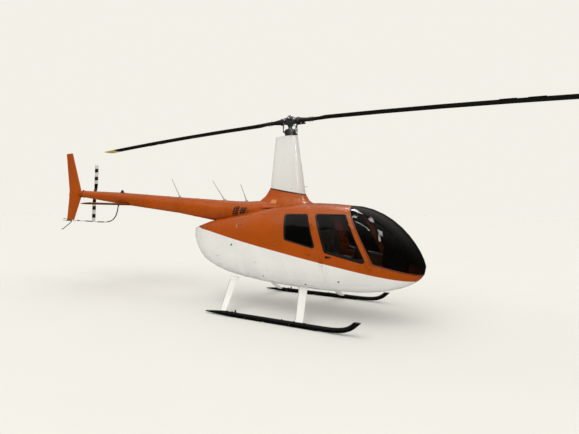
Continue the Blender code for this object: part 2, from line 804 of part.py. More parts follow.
def make_seats(lining):
    """Seat boxes on the floor, and one closed solid for each seat's cushion and back."""
    floor = FLOOR_Z + TOUCH
    rear, front = FRONT_SEAT_X
    wide = FRONT_SEAT_Y[1] + 0.01
    inner_plate("front_seat_base", (rear + 0.02, -wide, floor), (front - 0.02, wide, SEAT_BASE_Z), DARK_GREY, lining)
    outline = seat_profile(front, rear, SEAT_BASE_Z + TOUCH, 0.86, SEAT_BACK_Z, 0.08)
    for side_name, side in SIDES.items():
        near, far = sorted((side * FRONT_SEAT_Y[0], side * FRONT_SEAT_Y[1]))
        seat(f"front_seat_{side_name}", outline, near, far)
    rear, front = REAR_SEAT_X
    wide = REAR_SEAT_Y + 0.01
    low = (BULKHEAD_X + PLATE + TOUCH, -wide, floor)
    inner_plate("rear_seat_base", low, (front - 0.05, wide, SEAT_BASE_Z), DARK_GREY, lining)
    outline = seat_profile(front, rear, SEAT_BASE_Z + TOUCH, 0.87, SEAT_BACK_Z, 0.0)
    seat("rear_seat", outline, -REAR_SEAT_Y, REAR_SEAT_Y)


def make_controls(lining):
    """The instrument console, and the central stick with its cross bar and boot."""
    shape = side_prism("console", CONSOLE, -CONSOLE_HALF_WIDTH, CONSOLE_HALF_WIDTH, 1)
    source = place("console_source", shape, CUTTERS)
    boolean(source, lining, "INTERSECT")
    part("instrument_console", evaluated(source, "instrument_console"), BLACK, 0.5)
    head_x, head_z = STICK_HEAD
    foot = (STICK_FOOT_X, 0, FLOOR_Z + 0.012)
    post = place("stick_post", rod("post", foot, (head_x, 0, head_z), 0.017, 12), CUTTERS)
    bar_ends = ((head_x, -STICK_BAR_HALF, STICK_BAR_Z), (head_x, STICK_BAR_HALF, STICK_BAR_Z))
    boolean(post, cutter("stick_bar", rod("bar", *bar_ends, 0.014, 12)), "UNION")
    boot_low = (STICK_FOOT_X - 0.05, -0.05, FLOOR_Z + TOUCH)
    boot_high = (STICK_FOOT_X + 0.05, 0.05, FLOOR_Z + 0.03)
    boolean(post, cutter("stick_boot", box("boot", boot_low, boot_high)), "UNION")
    part("cyclic_stick", evaluated(post, "cyclic_stick"), DARK_GREY, 0.4)


# Aft cowl, tunnel, pylon and mast fairing

def make_aft_cowl():
    name = "aft_cowl"
    source = place("aft_source", cowl_body(name), CUTTERS)
    hollow = cutter("aft_hollow", cowl_body("aft_hollow", COWL_WALL, SPLIT_X + 0.1, first=3))
    boolean(source, hollow, "DIFFERENCE")
    hole = cutter("exhaust_hole", rod("exhaust_hole", EXHAUST[0], EXHAUST[1], EXHAUST_RADIUS + 0.008, 24))
    boolean(source, hole, "DIFFERENCE")
    part(name, evaluated(source, name), WHITE, 0.25)


def make_exhaust():
    bare = pipe("exhaust_pipe", *EXHAUST, EXHAUST_RADIUS, EXHAUST_RADIUS - 0.004)
    source = place("exhaust_source", bare, CUTTERS)
    low, high = ENGINE
    grown_low = [value - TOUCH for value in low]
    grown_high = [value + TOUCH for value in high]
    boolean(source, cutter("engine_space", box("engine_space", grown_low, grown_high)), "DIFFERENCE")
    part("exhaust_pipe", evaluated(source, "exhaust_pipe"), STEEL, 0.4, 0.9)


def tunnel_rings(inset, rows=TUNNEL, points=28):
    rings = []
    for x, wide, crest in rows:
        ring = []
        for i in range(points):
            angle = math.tau * (i + 0.5) / points
            c, s = math.cos(angle), math.sin(angle)
            up = crest - TUNNEL_AXIS_Z - inset
            down = 0.222 - inset
            ring.append((x, (wide - inset) * c, TUNNEL_AXIS_Z + (up if s > 0 else down) * s))
        rings.append(ring)
    return rings


def streamline(level, rear, front, wide, slope, inset=0.0):
    """A level cut of the pylon or fairing: round in front, drawn out behind."""
    ring = []
    half = (front - rear) / 2 - inset
    centre = (front + rear) / 2
    for i in range(FAIRING_POINTS):
        angle = math.tau * (i + 0.5) / FAIRING_POINTS
        c, s = math.cos(angle), math.sin(angle)
        x = centre + half * c
        y = (wide - inset) * s * (1.0 + 0.22 * c) / 1.02
        ring.append((x, y, level + slope * x))
    return ring


def make_pylon(body):
    name = "pylon_cowl"
    outer = place("tunnel_outer", loft(name, tunnel_rings(0.0)), CUTTERS)
    foot = cutter("pylon_foot", loft("pylon_foot", [streamline(*row) for row in PYLON]))
    boolean(outer, foot, "UNION")
    rows = [(TUNNEL[0][0] - 0.05, *TUNNEL[0][1:])] + list(TUNNEL[1:-1])
    inner = cutter("tunnel_inner", loft("tunnel_inner", tunnel_rings(PYLON_WALL, rows)))
    boolean(outer, inner, "DIFFERENCE")
    low, *_, high = PYLON
    tall = [(low[0] - 0.05, *low[1:])] + list(PYLON[1:]) + [(high[0] + 0.05, *high[1:])]
    bore = cutter("pylon_bore", loft("pylon_bore", [streamline(*row, PYLON_WALL) for row in tall]))
    boolean(outer, bore, "DIFFERENCE")
    boolean(outer, body, "DIFFERENCE")
    add_aerials(outer, "tunnel")
    part(name, evaluated(outer, name), ORANGE, 0.25)


def make_fairing():
    name = "mast_fairing"
    source = place("fairing_outer", loft(name, [streamline(*row) for row in FAIRING]), CUTTERS)
    low, *_, high = FAIRING
    tall = [(low[0] - 0.02, *low[1:])] + list(FAIRING[1:-1]) + [(high[0] + 0.02, *high[1:])]
    bore = cutter("fairing_bore", loft("fairing_bore", [streamline(*row, FAIRING_WALL) for row in tall]))
    boolean(source, bore, "DIFFERENCE")
    height, tip_x, radius = PITOT
    pitot_ends = ((FAIRING[0][2] - 0.026, 0, height), (tip_x, 0, height))
    boolean(source, cutter("pitot_tube", rod("pitot_tube", *pitot_ends, radius, 10)), "UNION")
    part(name, evaluated(source, name), WHITE, 0.25)


# Tail

def boom_rings(grown=0.0, rows=BOOM):
    rings = []
    for x, z, radius in rows:
        ring = []
        for i in range(BOOM_SIDES):
            angle = math.tau * (i + 0.5) / BOOM_SIDES
            ring.append((x, (radius + grown) * math.cos(angle), z + (radius + grown) * math.sin(angle)))
        rings.append(ring)
    return rings


def crest_under(x):
    """Height of the boom's or tunnel's crest at x."""
    rows = [(bx, bz + br) for bx, bz, br in reversed(BOOM)]
    if x > BOOM[0][0]:
        rows = [(tx, crest) for tx, _, crest in TUNNEL]
    for (x0, z0), (x1, z1) in zip(rows, rows[1:]):
        if x0 <= x <= x1:
            return z0 + (z1 - z0) * (x - x0) / (x1 - x0)
    return rows[-1][1]


def add_aerials(source, carrier):
    """Whip aerials, each with its small foot, joined to the boom or the tunnel."""
    for number, (x, tip_x, tip_z) in enumerate(AERIALS[carrier], 1):
        name = f"{carrier}_aerial_{number}"
        base = crest_under(x) - AERIAL_SINK
        whip = cutter(name, rod(name, (x, 0, base), (tip_x, 0, tip_z), AERIAL_RADIUS, 10, AERIAL_RADIUS * 0.6))
        foot = cutter(name + "_foot", box(name, (x - 0.03, -0.012, base), (x + 0.02, 0.012, base + 0.03)))
        boolean(source, whip, "UNION")
        boolean(source, foot, "UNION")


def make_boom(body):
    name = "tail_boom"
    source = place("boom_outer", loft(name, boom_rings()), CUTTERS)
    bore_rows = [(BOOM[0][0] + 0.01, *BOOM[0][1:])] + list(BOOM[1:-1]) + [(BOOM_REAR_X - 0.01, *BOOM[-1][1:])]
    boolean(source, cutter("boom_bore", loft("boom_bore", boom_rings(-BOOM_WALL, bore_rows))), "DIFFERENCE")
    boolean(source, body, "DIFFERENCE")
    add_aerials(source, "boom")
    part(name, evaluated(source, name), ORANGE, 0.25)


def lens(low_x, high_x, thickness, front_blunt=0.35):
    """A thin wing section between two x, as (x, offset) points, blunt in front."""
    chord = high_x - low_x
    upper = [(0.0, 0.08), (0.35, 0.42), (0.70, 0.50), (0.92, front_blunt), (1.0, 0.12)]
    points = [(low_x + chord * share, thickness * half) for share, half in upper]
    return points + [(x, -half) for x, half in reversed(points)]


def make_fin():
    rings = []
    for z, lead, trail in FIN:
        thickness = FIN_THICKNESS * (0.75 if z in (FIN[0][0], FIN[-1][0]) else 1.0)
        rings.append([(x, y, z) for x, y in lens(trail, lead, thickness)])
    part("vertical_fin", loft("vertical_fin", rings), ORANGE, 0.25)


def make_stabilizer(boom_solid):
    rings = []
    lead = STABILIZER_LEADING_X
    trail = lead - STABILIZER_CHORD
    tip, tip_share = STABILIZER_HALF_SPAN, STABILIZER_TIP_SHARE
    for y, share in ((-tip, tip_share), (0.1 - tip, 1.0), (tip - 0.1, 1.0), (tip, tip_share)):
        points = lens(trail, lead, STABILIZER_THICKNESS * share)
        rings.append([(x, y, STABILIZER_Z + offset) for x, offset in points])
    source = place("stabilizer_source", loft("stabilizer", rings), CUTTERS)
    boolean(source, boom_solid, "DIFFERENCE")
    part("stabilizer", evaluated(source, "stabilizer"), ORANGE, 0.25)


def make_tail_gearbox():
    x_front, x_rear = BOOM[-1][0] - TOUCH, FIN[1][1] + TOUCH
    centre_z = BOOM[-1][1]
    ends = ((x_rear, 0, centre_z), (x_front, 0, centre_z))
    source = place("gear_source", rod("gear", *ends, 0.078, 20), CUTTERS)
    hub_x, _, hub_z = TAIL_HUB
    case_ends = ((hub_x, -0.02, hub_z), (hub_x, TAIL_CASE_END_Y, hub_z))
    case = cutter("gear_case", rod("case", *case_ends, TAIL_CASE_RADIUS, 20))
    boolean(source, case, "UNION")
    part("tail_gearbox", evaluated(source, "tail_gearbox"), DARK_GREY, 0.4, 0.5)


def make_tail_rotor():
    x, y, z = TAIL_HUB
    axis = pivot("tail_rotor_pivot", TAIL_HUB)
    shaft_ends = ((x, TAIL_CASE_END_Y + TOUCH, z), (x, y + 0.045, z))
    shaft = place("tail_shaft", rod("shaft", *shaft_ends, 0.022, 16), CUTTERS)
    bar = cutter("tail_bar", box("bar", (x - 0.035, y - 0.020, z - 0.11), (x + 0.035, y + 0.020, z + 0.11)))
    boolean(shaft, bar, "UNION")
    part("tail_rotor_hub", evaluated(shaft, "tail_rotor_hub"), DARK_GREY, 0.4, 0.6, carrier=axis)
    # Reach, chord, thickness
    rows = (
        (0.11 + TOUCH, 0.05, 0.030),
        (0.19, 0.05, 0.028),
        (0.25, TAIL_CHORD, TAIL_THICKNESS),
        (TAIL_RADIUS - 0.02, TAIL_CHORD, TAIL_THICKNESS),
        (TAIL_RADIUS, TAIL_CHORD - 0.03, TAIL_THICKNESS * 0.7),
    )
    for number, way in ((1, 1), (2, -1)):
        rings = []
        for reach, chord, thick in rows:
            points = lens(-0.7 * chord, 0.3 * chord, thick)
            rings.append([(x - way * px, y + py, z + way * reach) for px, py in points])
        part(f"tail_blade_{number}", loft("tail_blade", rings), BLACK, 0.4, carrier=axis)


def make_guard(boom_solid):
    """The bent guard tube, the shoe that it shares with the fin's foot, and the tail skid."""
    shoe_rear, shoe_front = GUARD_SHOE_X
    path = [(x, 0, z) for x, z in GUARD_PATH] + [(shoe_front - 0.03, 0, GUARD_SHOE_Z + 0.02)]
    source = place("guard_source", bent_tube("tail_guard", path, GUARD_RADIUS), CUTTERS)
    shoe_top = FIN[0][0] - TOUCH
    shoe = cutter("guard_shoe", box("shoe", (shoe_rear, -0.02, GUARD_SHOE_Z), (shoe_front, 0.02, shoe_top)))
    skid_path = [(x, 0, z) for x, z in TAIL_SKID_PATH]
    skid = cutter("tail_skid", bent_tube("tail_skid", skid_path, TAIL_SKID_RADIUS))
    boolean(source, shoe, "UNION")
    boolean(source, skid, "UNION")
    boolean(source, boom_solid, "DIFFERENCE")
    part("tail_guard", evaluated(source, "tail_guard"), WHITE, 0.35)


def make_beacon(boom_solid):
    x, top, radius = BEACON
    lamp = rod("beacon", (x, 0, crest_under(x) - 0.02), (x, 0, top), radius, 16, radius * 0.7)
    source = place("beacon_source", lamp, CUTTERS)
    boolean(source, boom_solid, "DIFFERENCE")
    part("beacon", evaluated(source, "beacon"), LAMP_RED, 0.2)


# Mast and main rotor

def make_mast(axis):
    """The fixed mast tube with the lower plate on its top, and the upper plate with its links."""
    top = FAIRING[-1][0] + 0.02
    radius, height = LOWER_PLATE
    bore = SHAFT_RADIUS + SHAFT_CLEARANCE
    ends = ((0, 0, MAST_FOOT_Z + TOUCH), (0, 0, top + 0.001))
    source = place("mast_source", pipe("mast_tube", *ends, MAST_TUBE_RADIUS, bore), CUTTERS)
    lower = cutter("lower_plate", pipe("lower_plate", (0, 0, top), (0, 0, top + height), radius, bore))
    boolean(source, lower, "UNION")
    part("mast_tube", evaluated(source, "mast_tube"), STEEL, 0.4, 0.8)
    base = top + height + TOUCH
    radius, height = UPPER_PLATE
    ring = pipe("upper_plate", (0, 0, base), (0, 0, base + height), radius, SHAFT_RADIUS + TOUCH)
    source = place("swash_source", ring, CUTTERS)
    arm_z = base + LINK_RADIUS * 2
    for way in (1, -1):
        x, y = LINK_X * way, LINK_Y * way
        arm_ends = ((x * 0.8, y * 0.3, arm_z), (x, y, arm_z))
        boolean(source, cutter(f"swash_arm_{way}", rod("arm", *arm_ends, LINK_RADIUS * 1.4, 10)), "UNION")
        link_ends = ((x, y, arm_z - LINK_RADIUS), (x, y, HORN_BOTTOM_Z - TOUCH))
        boolean(source, cutter(f"pitch_link_{way}", rod("link", *link_ends, LINK_RADIUS, 10)), "UNION")
    part("swashplate", evaluated(source, "swashplate"), DARK_GREY, 0.4, 0.6, carrier=axis)


def make_hub(axis):
    """The shaft, the teetering hub block across it, its bolt and the cap on top."""
    low = (-HUB_REACH, -HUB_HALF_WIDTH, HEAD_Z - HUB_BELOW)
    high = (HUB_REACH, HUB_HALF_WIDTH, HEAD_Z + HUB_ABOVE)
    source = place("hub_source", box("hub", low, high, HUB_EDGE), CUTTERS)
    shaft_ends = ((0, 0, MAST_FOOT_Z + TOUCH), (0, 0, HEAD_Z))
    boolean(source, cutter("rotor_shaft", rod("shaft", *shaft_ends, SHAFT_RADIUS, 24)), "UNION")
    half, radius, rise = TEETER_BOLT
    bolt_ends = ((0, -half, HEAD_Z + rise), (0, half, HEAD_Z + rise))
    boolean(source, cutter("teeter_bolt", rod("bolt", *bolt_ends, radius, 16)), "UNION")
    cap_ends = ((0, 0, HEAD_Z), (0, 0, HUB_TOP_Z))
    boolean(source, cutter("hub_cap", rod("cap", *cap_ends, CAP_RADIUS, 20)), "UNION")
    part("rotor_hub", evaluated(source, "rotor_hub"), DARK_GREY, 0.4, 0.6, carrier=axis)


def blade_z(reach, tilt):
    return HEAD_Z - (DROOP[0] + tilt) * reach - DROOP[1] * reach * reach


def blade_ring(tilt, reach, chord, thickness, cuff):
    """A blade section: the wing section, or a round one where the cuff has a radius."""
    ring = []
    for k, (px, pz) in enumerate(lens(-0.72 * chord, 0.28 * chord, thickness)):
        if cuff:
            side = 1 if k < 5 else -1
            share = (-1.0, -0.62, 0.0, 0.62, 1.0)[k if k < 5 else 9 - k]
            px = cuff * share
            pz = side * cuff * math.sqrt(max(0.06, 1 - share * share))
        ring.append((reach, px, blade_z(reach, tilt) + pz))
    return ring


def make_blades(axis):
    """Two blades; the rotor rests tilted, its forward blade lower than its aft one."""
    # Reach, chord, thickness, cuff radius
    rows = (
        (HUB_REACH + TOUCH, BLADE_CHORD, BLADE_THICKNESS, 0.060),
        (0.24, BLADE_CHORD, BLADE_THICKNESS, 0.048),
        (0.32, BLADE_CHORD, BLADE_THICKNESS, 0.038),
        (0.46, BLADE_CHORD, BLADE_THICKNESS, 0.036),
        (0.72, BLADE_CHORD, BLADE_THICKNESS, None),
        (1.60, BLADE_CHORD, BLADE_THICKNESS, None),
        (2.50, BLADE_CHORD, BLADE_THICKNESS, None),
        (3.40, BLADE_CHORD, BLADE_THICKNESS, None),
        (4.20, BLADE_CHORD, BLADE_THICKNESS, None),
        (ROTOR_RADIUS - 0.05, BLADE_CHORD, BLADE_THICKNESS, None),
        (ROTOR_RADIUS, BLADE_CHORD * 0.86, BLADE_THICKNESS * 0.5, None),
    )
    root, tip = HORN_X
    outer_y = LINK_Y + HORN_HALF_WIDTH
    top = HORN_BOTTOM_Z + HORN_HEIGHT
    arm = box("horn_arm", (root, 0.0, HORN_BOTTOM_Z), (tip, outer_y, top))
    toe = box("horn_toe", (LINK_X - HORN_HALF_WIDTH, LINK_Y - HORN_HALF_WIDTH, HORN_BOTTOM_Z), (tip, outer_y, top))
    for number, turn, tilt in ((1, 0.0, TEETER), (2, math.pi, -TEETER)):
        name = f"main_blade_{number}"
        source = place(name + "_source", loft(name, [blade_ring(tilt, *row) for row in rows]), CUTTERS)
        for horn in (arm, toe):
            boolean(source, cutter(f"{name}_{horn.name}", horn.copy()), "UNION")
        mesh = evaluated(source, name)
        mesh.transform(Matrix.Rotation(turn, 4, "Z"))
        part(name, mesh, BLACK, 0.4, carrier=axis)


# Landing gear

def make_skids():
    shoe_start, shoe_end, shoe_width = SHOE
    for side_name, side in SIDES.items():
        y = side * TREAD / 2
        name = f"skid_{side_name}"
        path = [(x, y, z) for x, z in SKID_PATH]
        source = place(name + "_tube", bent_tube(name, path, SKID_RADIUS), CUTTERS)
        shoe_low = (shoe_start, y - shoe_width / 2, 0.0)
        shoe_high = (shoe_end, y + shoe_width / 2, SHOE_HEIGHT)
        boolean(source, cutter(name + "_shoe", box("shoe", shoe_low, shoe_high)), "UNION")
        near, far = TREAD / 2 - 0.05, TREAD / 2 + 0.05
        slant = cutter(name + "_tail_cut", side_prism("slant", SKID_TAIL_CUT, near, far, side))
        boolean(source, slant, "DIFFERENCE")
        part(name, evaluated(source, name), BLACK, 0.5)


def leg_ring(x, y, z, chord):
    points = lens(x - chord * 0.6, x + chord * 0.4, LEG_THICKNESS)
    return [(px, y + offset, z) for px, offset in points]


def make_legs(body):
    for side_name, side in SIDES.items():
        y = side * TREAD / 2
        space = rod("skid_space", (-1.2, y, SKID_CENTRE_Z), (1.2, y, SKID_CENTRE_Z), SKID_RADIUS + TOUCH, 24)
        skid = cutter(f"skid_space_{side_name}", space)
        for place_name, (top_x, foot_x) in LEGS.items():
            name = f"leg_{place_name}_{side_name}"
            rings = [
                leg_ring(foot_x, y, SKID_CENTRE_Z, LEG_CHORD[1]),
                leg_ring(top_x, side * LEG_TOP_Y, LEG_TOP_Z, LEG_CHORD[0]),
            ]
            source = place(name + "_source", loft(name, rings), CUTTERS)
            boolean(source, body, "DIFFERENCE")
            boolean(source, skid, "DIFFERENCE")
            part(name, evaluated(source, name), WHITE, 0.3)


def main():
    body = cutter("body_space", whole_body("body_space", -TOUCH))
    boom_solid = cutter("boom_space", loft("boom_space", boom_rings(TOUCH)))
    make_cabin()
    lining = cutter("lining", cabin_body("lining", CABIN_WALL + TOUCH, SPLIT_X))
    make_inside(lining)
    make_seats(lining)
    make_controls(lining)
    make_aft_cowl()
    make_exhaust()
    make_pylon(body)
    make_fairing()
    make_boom(body)
    make_fin()
    make_stabilizer(boom_solid)
    make_tail_gearbox()
    make_tail_rotor()
    make_guard(boom_solid)
    make_beacon(boom_solid)
    rotor_axis = pivot("main_rotor_pivot", (0.0, 0.0, HEAD_Z))
    make_mast(rotor_axis)
    make_hub(rotor_axis)
    make_blades(rotor_axis)
    make_skids()
    make_legs(body)


main()
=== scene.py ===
"""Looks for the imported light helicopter: camera, light, finishes and the detail that the solids leave out."""
import math

import bmesh
import bpy
from mathutils import Matrix, Vector
from mathutils.bvhtree import BVHTree


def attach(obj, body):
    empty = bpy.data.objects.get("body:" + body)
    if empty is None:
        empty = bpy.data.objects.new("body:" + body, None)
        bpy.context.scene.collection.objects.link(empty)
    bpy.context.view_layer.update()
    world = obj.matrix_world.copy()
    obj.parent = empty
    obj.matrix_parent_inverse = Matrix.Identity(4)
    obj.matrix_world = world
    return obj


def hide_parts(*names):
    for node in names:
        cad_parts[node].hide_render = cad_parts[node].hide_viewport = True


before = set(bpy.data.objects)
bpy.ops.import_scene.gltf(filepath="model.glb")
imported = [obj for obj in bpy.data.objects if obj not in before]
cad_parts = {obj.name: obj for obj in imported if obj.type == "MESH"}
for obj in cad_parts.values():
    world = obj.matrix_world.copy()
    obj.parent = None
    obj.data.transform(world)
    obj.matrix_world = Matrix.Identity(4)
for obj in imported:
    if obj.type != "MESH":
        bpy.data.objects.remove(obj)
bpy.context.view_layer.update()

# Frame: the mast stands this far ahead of the origin
MAST_X = 0.853
UP, BACK = (0, 0, 1), (-1, 0, 0)

# Photograph: its size and the camera solved for it
IMAGE = (579, 434)
FOCAL_PX = 375.86
CENTRE_PX = (241.79, 183.23)
EYE = Vector((3.5727, -6.3857, 1.6587))
YAW, PITCH, ROLL = 0.5325, 0.0795, 0.0029

# Colours, linear
PALE = (0.896, 0.871, 0.807)
FLOOR = (0.672, 0.672, 0.662)
ORANGE = (0.365, 0.062, 0.0025)
# Pale orange for the hatch on the pylon foot: a painted highlight
PAINTED_HIGHLIGHT_ORANGE = (0.56, 0.20, 0.07)
DUST = (0.52, 0.48, 0.42)
WHITE = (0.73, 0.73, 0.72)
# The body white made a little darker for the mast fairing: painted shade
FAIRING_SHADED_WHITE = (0.71, 0.71, 0.70)
BLACK = (0.010, 0.010, 0.010)
BLADE_BLACKS = ((0.007, 0.007, 0.006), (0.015, 0.014, 0.011))
SATIN_BLACK = (0.003, 0.003, 0.0033)
SATIN_GREY = (0.030, 0.030, 0.032)
OLIVE = (0.50, 0.45, 0.13)
BAND_WHITE = (0.60, 0.60, 0.60)
BAND_BLACK = (0.010, 0.009, 0.009)
GUARD_RED = (0.075, 0.022, 0.012)
# Painted shade: dark brown that stands for shade on the stabilizer's underside
UNDERSIDE_SHADE_BROWN = (0.085, 0.030, 0.006)
SEAM_BROWN = (0.050, 0.022, 0.014)
# Inlet screens: dark mesh colour together with painted shade of the openings behind them
INLET_MESH_AND_SHADE_DARK = (0.020, 0.009, 0.005)
AERIAL_GREY = (0.42, 0.40, 0.36)
HEAD_GREY = (0.080, 0.086, 0.090)
STEEL = (0.42, 0.42, 0.43)
ALUMINIUM = (0.62, 0.63, 0.64)
CAST_GREY = (0.38, 0.38, 0.37)
TITANIUM = (0.30, 0.25, 0.20)
PIPE_BROWN = (0.20, 0.14, 0.10)
PIPE_SOOT = (0.10, 0.08, 0.075)
TINT = (0.0013, 0.0012, 0.0012)
LEATHER = (0.085, 0.060, 0.045)
CARPET = (0.050, 0.048, 0.046)
LINING = (0.16, 0.155, 0.15)
PLASTIC = (0.022, 0.022, 0.024)
RUBBER = (0.014, 0.014, 0.014)
LAMP_RED = (0.035, 0.006, 0.005)
LAMP_CLEAR = (0.55, 0.56, 0.56)
TRIM_BROWN = (0.20, 0.075, 0.030)
SILL_GREY = (0.36, 0.355, 0.34)
WEBBING = (0.030, 0.030, 0.032)

# Gloss paint: roughness, coat, specular, and the tint of its mirror images
GLOSS = (0.30, 0.2, 0.18)
GLOSS_TINT = (1.0, 0.90, 0.50)

# The sky's strength over the direction's height: as surfaces see it, and as gloss mirrors it
SKY = ((0.60, 0.95), (1.0, 2.0))
MIRRORED_SKY = ((0.10, 1.0), (0.03, 1.0))

# Reach at which the blades' olive tips start, and the reaches where the tail blades' bands change
BLADE_TIP_EDGE = 4.673
TAIL_HUB = (-5.858, 0.359, 2.186)
TAIL_BANDS = (0.240, 0.347, 0.447, 0.562, 0.662)

# Where the guard's colour changes and the tail skid's start, from the mast; and the level below which the
# stabilizer is painted dark brown as painted shade on its underside
GUARD_BANDS = (-6.074, -5.972, -5.738, -5.452, -5.272, -5.025, -4.919)
TAIL_SKID_START = -6.280
STABILIZER_SHADE_LINE = 1.870
AERIAL_ZONES = ((-2.95, -2.55, 2.035), (-1.85, -0.90, 1.950))

# Sun: its spread in degrees
SUN_STRENGTH, SUN_SPREAD = 0.55, 50
SUN_COLOUR = (1.0, 0.985, 0.96)
SUN_DIRECTION = (0.25, 0.75, -0.9)

# Lamp over the cabin floor and one under the belly that stands for light off the ground: place, size, power
CABIN_LAMP = ((0.85, 0.0, 1.600), (1.10, 0.80), 60.0)
GROUND_LAMP = ((0.0, 0.0, 0.015), (7.0, 4.0), 18.0)

# Slim lamps as seen from the windshield: the two ends' directions and the width at that reach
GLINT_FOCUS = Vector((2.3, -0.3, 1.5))
GLINT_REACH = 9.0
GLINT_POWER = 90.0
GLINTS = (
    ((-0.16, 0.62, 0.77), (0.13, 0.26, 0.96), 0.9),
    ((-0.11, -0.18, 0.98), (0.17, -0.18, 0.97), 1.0),
    ((0.33, 0.30, 0.89), (0.44, -0.06, 0.89), 1.1),
    ((0.20, -0.54, 0.82), (0.45, -0.70, 0.56), 0.5),
    ((0.66, -0.29, 0.69), (0.68, -0.52, 0.52), 0.9),
    ((0.65, -0.57, 0.50), (0.62, -0.72, 0.30), 0.5),
)

# Paint line between the colours in side view, (x from the mast, z)
PAINT_LINE = (
    (-2.200, 1.448),
    (-2.050, 1.392),
    (-1.900, 1.353),
    (-1.600, 1.314),
    (-1.000, 1.217),
    (-0.087, 1.057),
    (0.475, 0.950),
    (1.226, 0.812),
    (1.865, 0.690),
    (2.300, 0.610),
)


# Camera, light and floor


def make_camera():
    data = bpy.data.cameras.new("camera")
    data.sensor_fit = "HORIZONTAL"
    data.sensor_width = 36.0
    data.lens = FOCAL_PX / IMAGE[0] * data.sensor_width
    data.shift_x = 0.5 - CENTRE_PX[0] / IMAGE[0]
    data.shift_y = (CENTRE_PX[1] - IMAGE[1] / 2) / IMAGE[0]
    forward = Vector(
        (-math.sin(YAW) * math.cos(PITCH), math.cos(YAW) * math.cos(PITCH), math.sin(PITCH))
    )
    level = Vector((math.cos(YAW), math.sin(YAW), 0.0))
    above = level.cross(forward)
    right = level * math.cos(ROLL) + above * math.sin(ROLL)
    up = above * math.cos(ROLL) - level * math.sin(ROLL)
    camera = bpy.data.objects.new("camera", data)
    bpy.context.scene.collection.objects.link(camera)
    turn = Matrix((right, up, -forward)).transposed().to_4x4()
    camera.matrix_world = Matrix.Translation(EYE) @ turn
    bpy.context.scene.camera = camera


def make_world():
    world = bpy.data.worlds.new("studio")
    bpy.context.scene.world = world
    world.use_nodes = True
    tree = world.node_tree
    background = tree.nodes["Background"]
    coordinates = tree.nodes.new("ShaderNodeTexCoord")
    split = tree.nodes.new("ShaderNodeSeparateXYZ")
    tree.links.new(coordinates.outputs["Generated"], split.inputs["Vector"])
    levels = []
    for heights, strengths in (SKY, MIRRORED_SKY):
        level = tree.nodes.new("ShaderNodeMapRange")
        level.interpolation_type = "SMOOTHSTEP"
        for socket, value in zip(("From Min", "From Max", "To Min", "To Max"), (*heights, *strengths)):
            level.inputs[socket].default_value = value
        tree.links.new(split.outputs["Z"], level.inputs["Value"])
        levels.append(level.outputs["Result"])
    rays = tree.nodes.new("ShaderNodeLightPath")
    choose = tree.nodes.new("ShaderNodeMix")
    tree.links.new(rays.outputs["Is Glossy Ray"], choose.inputs["Factor"])
    tree.links.new(levels[0], choose.inputs["A"])
    tree.links.new(levels[1], choose.inputs["B"])
    tree.links.new(choose.outputs["Result"], background.inputs["Strength"])
    background.inputs["Color"].default_value = (*PALE, 1.0)


def aim(lamp, direction):
    lamp.rotation_euler = Vector(direction).to_track_quat("-Z", "Y").to_euler()


def add_lamp(name, kind, energy, size=None):
    """A lamp; one with a size is a panel that the camera doesn't see."""
    data = bpy.data.lights.new(name, kind)
    data.energy = energy
    lamp = bpy.data.objects.new(name, data)
    bpy.context.scene.collection.objects.link(lamp)
    if size:
        data.shape = "RECTANGLE"
        data.size, data.size_y = size
        lamp.visible_camera = False
        lamp.visible_transmission = False
    return lamp


def make_lights():
    """A soft sun, slim lamps whose mirror images lie on the windshield, and two hidden panels."""
    sun = add_lamp("soft_key", "SUN", SUN_STRENGTH)
    sun.data.angle = math.radians(SUN_SPREAD)
    sun.data.color = SUN_COLOUR
    aim(sun, SUN_DIRECTION)
    for number, (start, end, width) in enumerate(GLINTS, 1):
        start, end = Vector(start).normalized() * GLINT_REACH, Vector(end).normalized() * GLINT_REACH
        length = (end - start).length
        lamp = add_lamp(f"glint_{number}", "AREA", GLINT_POWER * length * width, (length, width))
        lamp.location = GLINT_FOCUS + (start + end) / 2
        inward = -(start + end).normalized()
        along = (end - start).normalized()
        lamp.rotation_euler = Matrix((along, along.cross(inward), -inward)).transposed().to_euler()
        lamp.visible_diffuse = False
    for name, direction, (place, size, energy) in (
        ("cabin_lamp", (0, 0, -1), CABIN_LAMP),
        ("ground_lamp", UP, GROUND_LAMP),
    ):
        lamp = add_lamp(name, "AREA", energy, size)
        lamp.location = (place[0] + MAST_X, *place[1:])
        aim(lamp, direction)
        lamp.visible_glossy = False


def make_floor(material):
    bm = bmesh.new()
    bmesh.ops.create_circle(bm, cap_ends=True, segments=64, radius=400.0)
    mesh = bpy.data.meshes.new("floor")
    bm.to_mesh(mesh)
    bm.free()
    floor = bpy.data.objects.new("floor", mesh)
    bpy.context.scene.collection.objects.link(floor)
    mesh.materials.append(material)
    floor.visible_glossy = False
    unlit = bpy.data.collections.new("not_lit_by_the_cabin_lamp")
    unlit.objects.link(floor)
    unlit.collection_objects[0].light_linking.link_state = "EXCLUDE"
    bpy.data.objects["cabin_lamp"].light_linking.receiver_collection = unlit


# Finishes


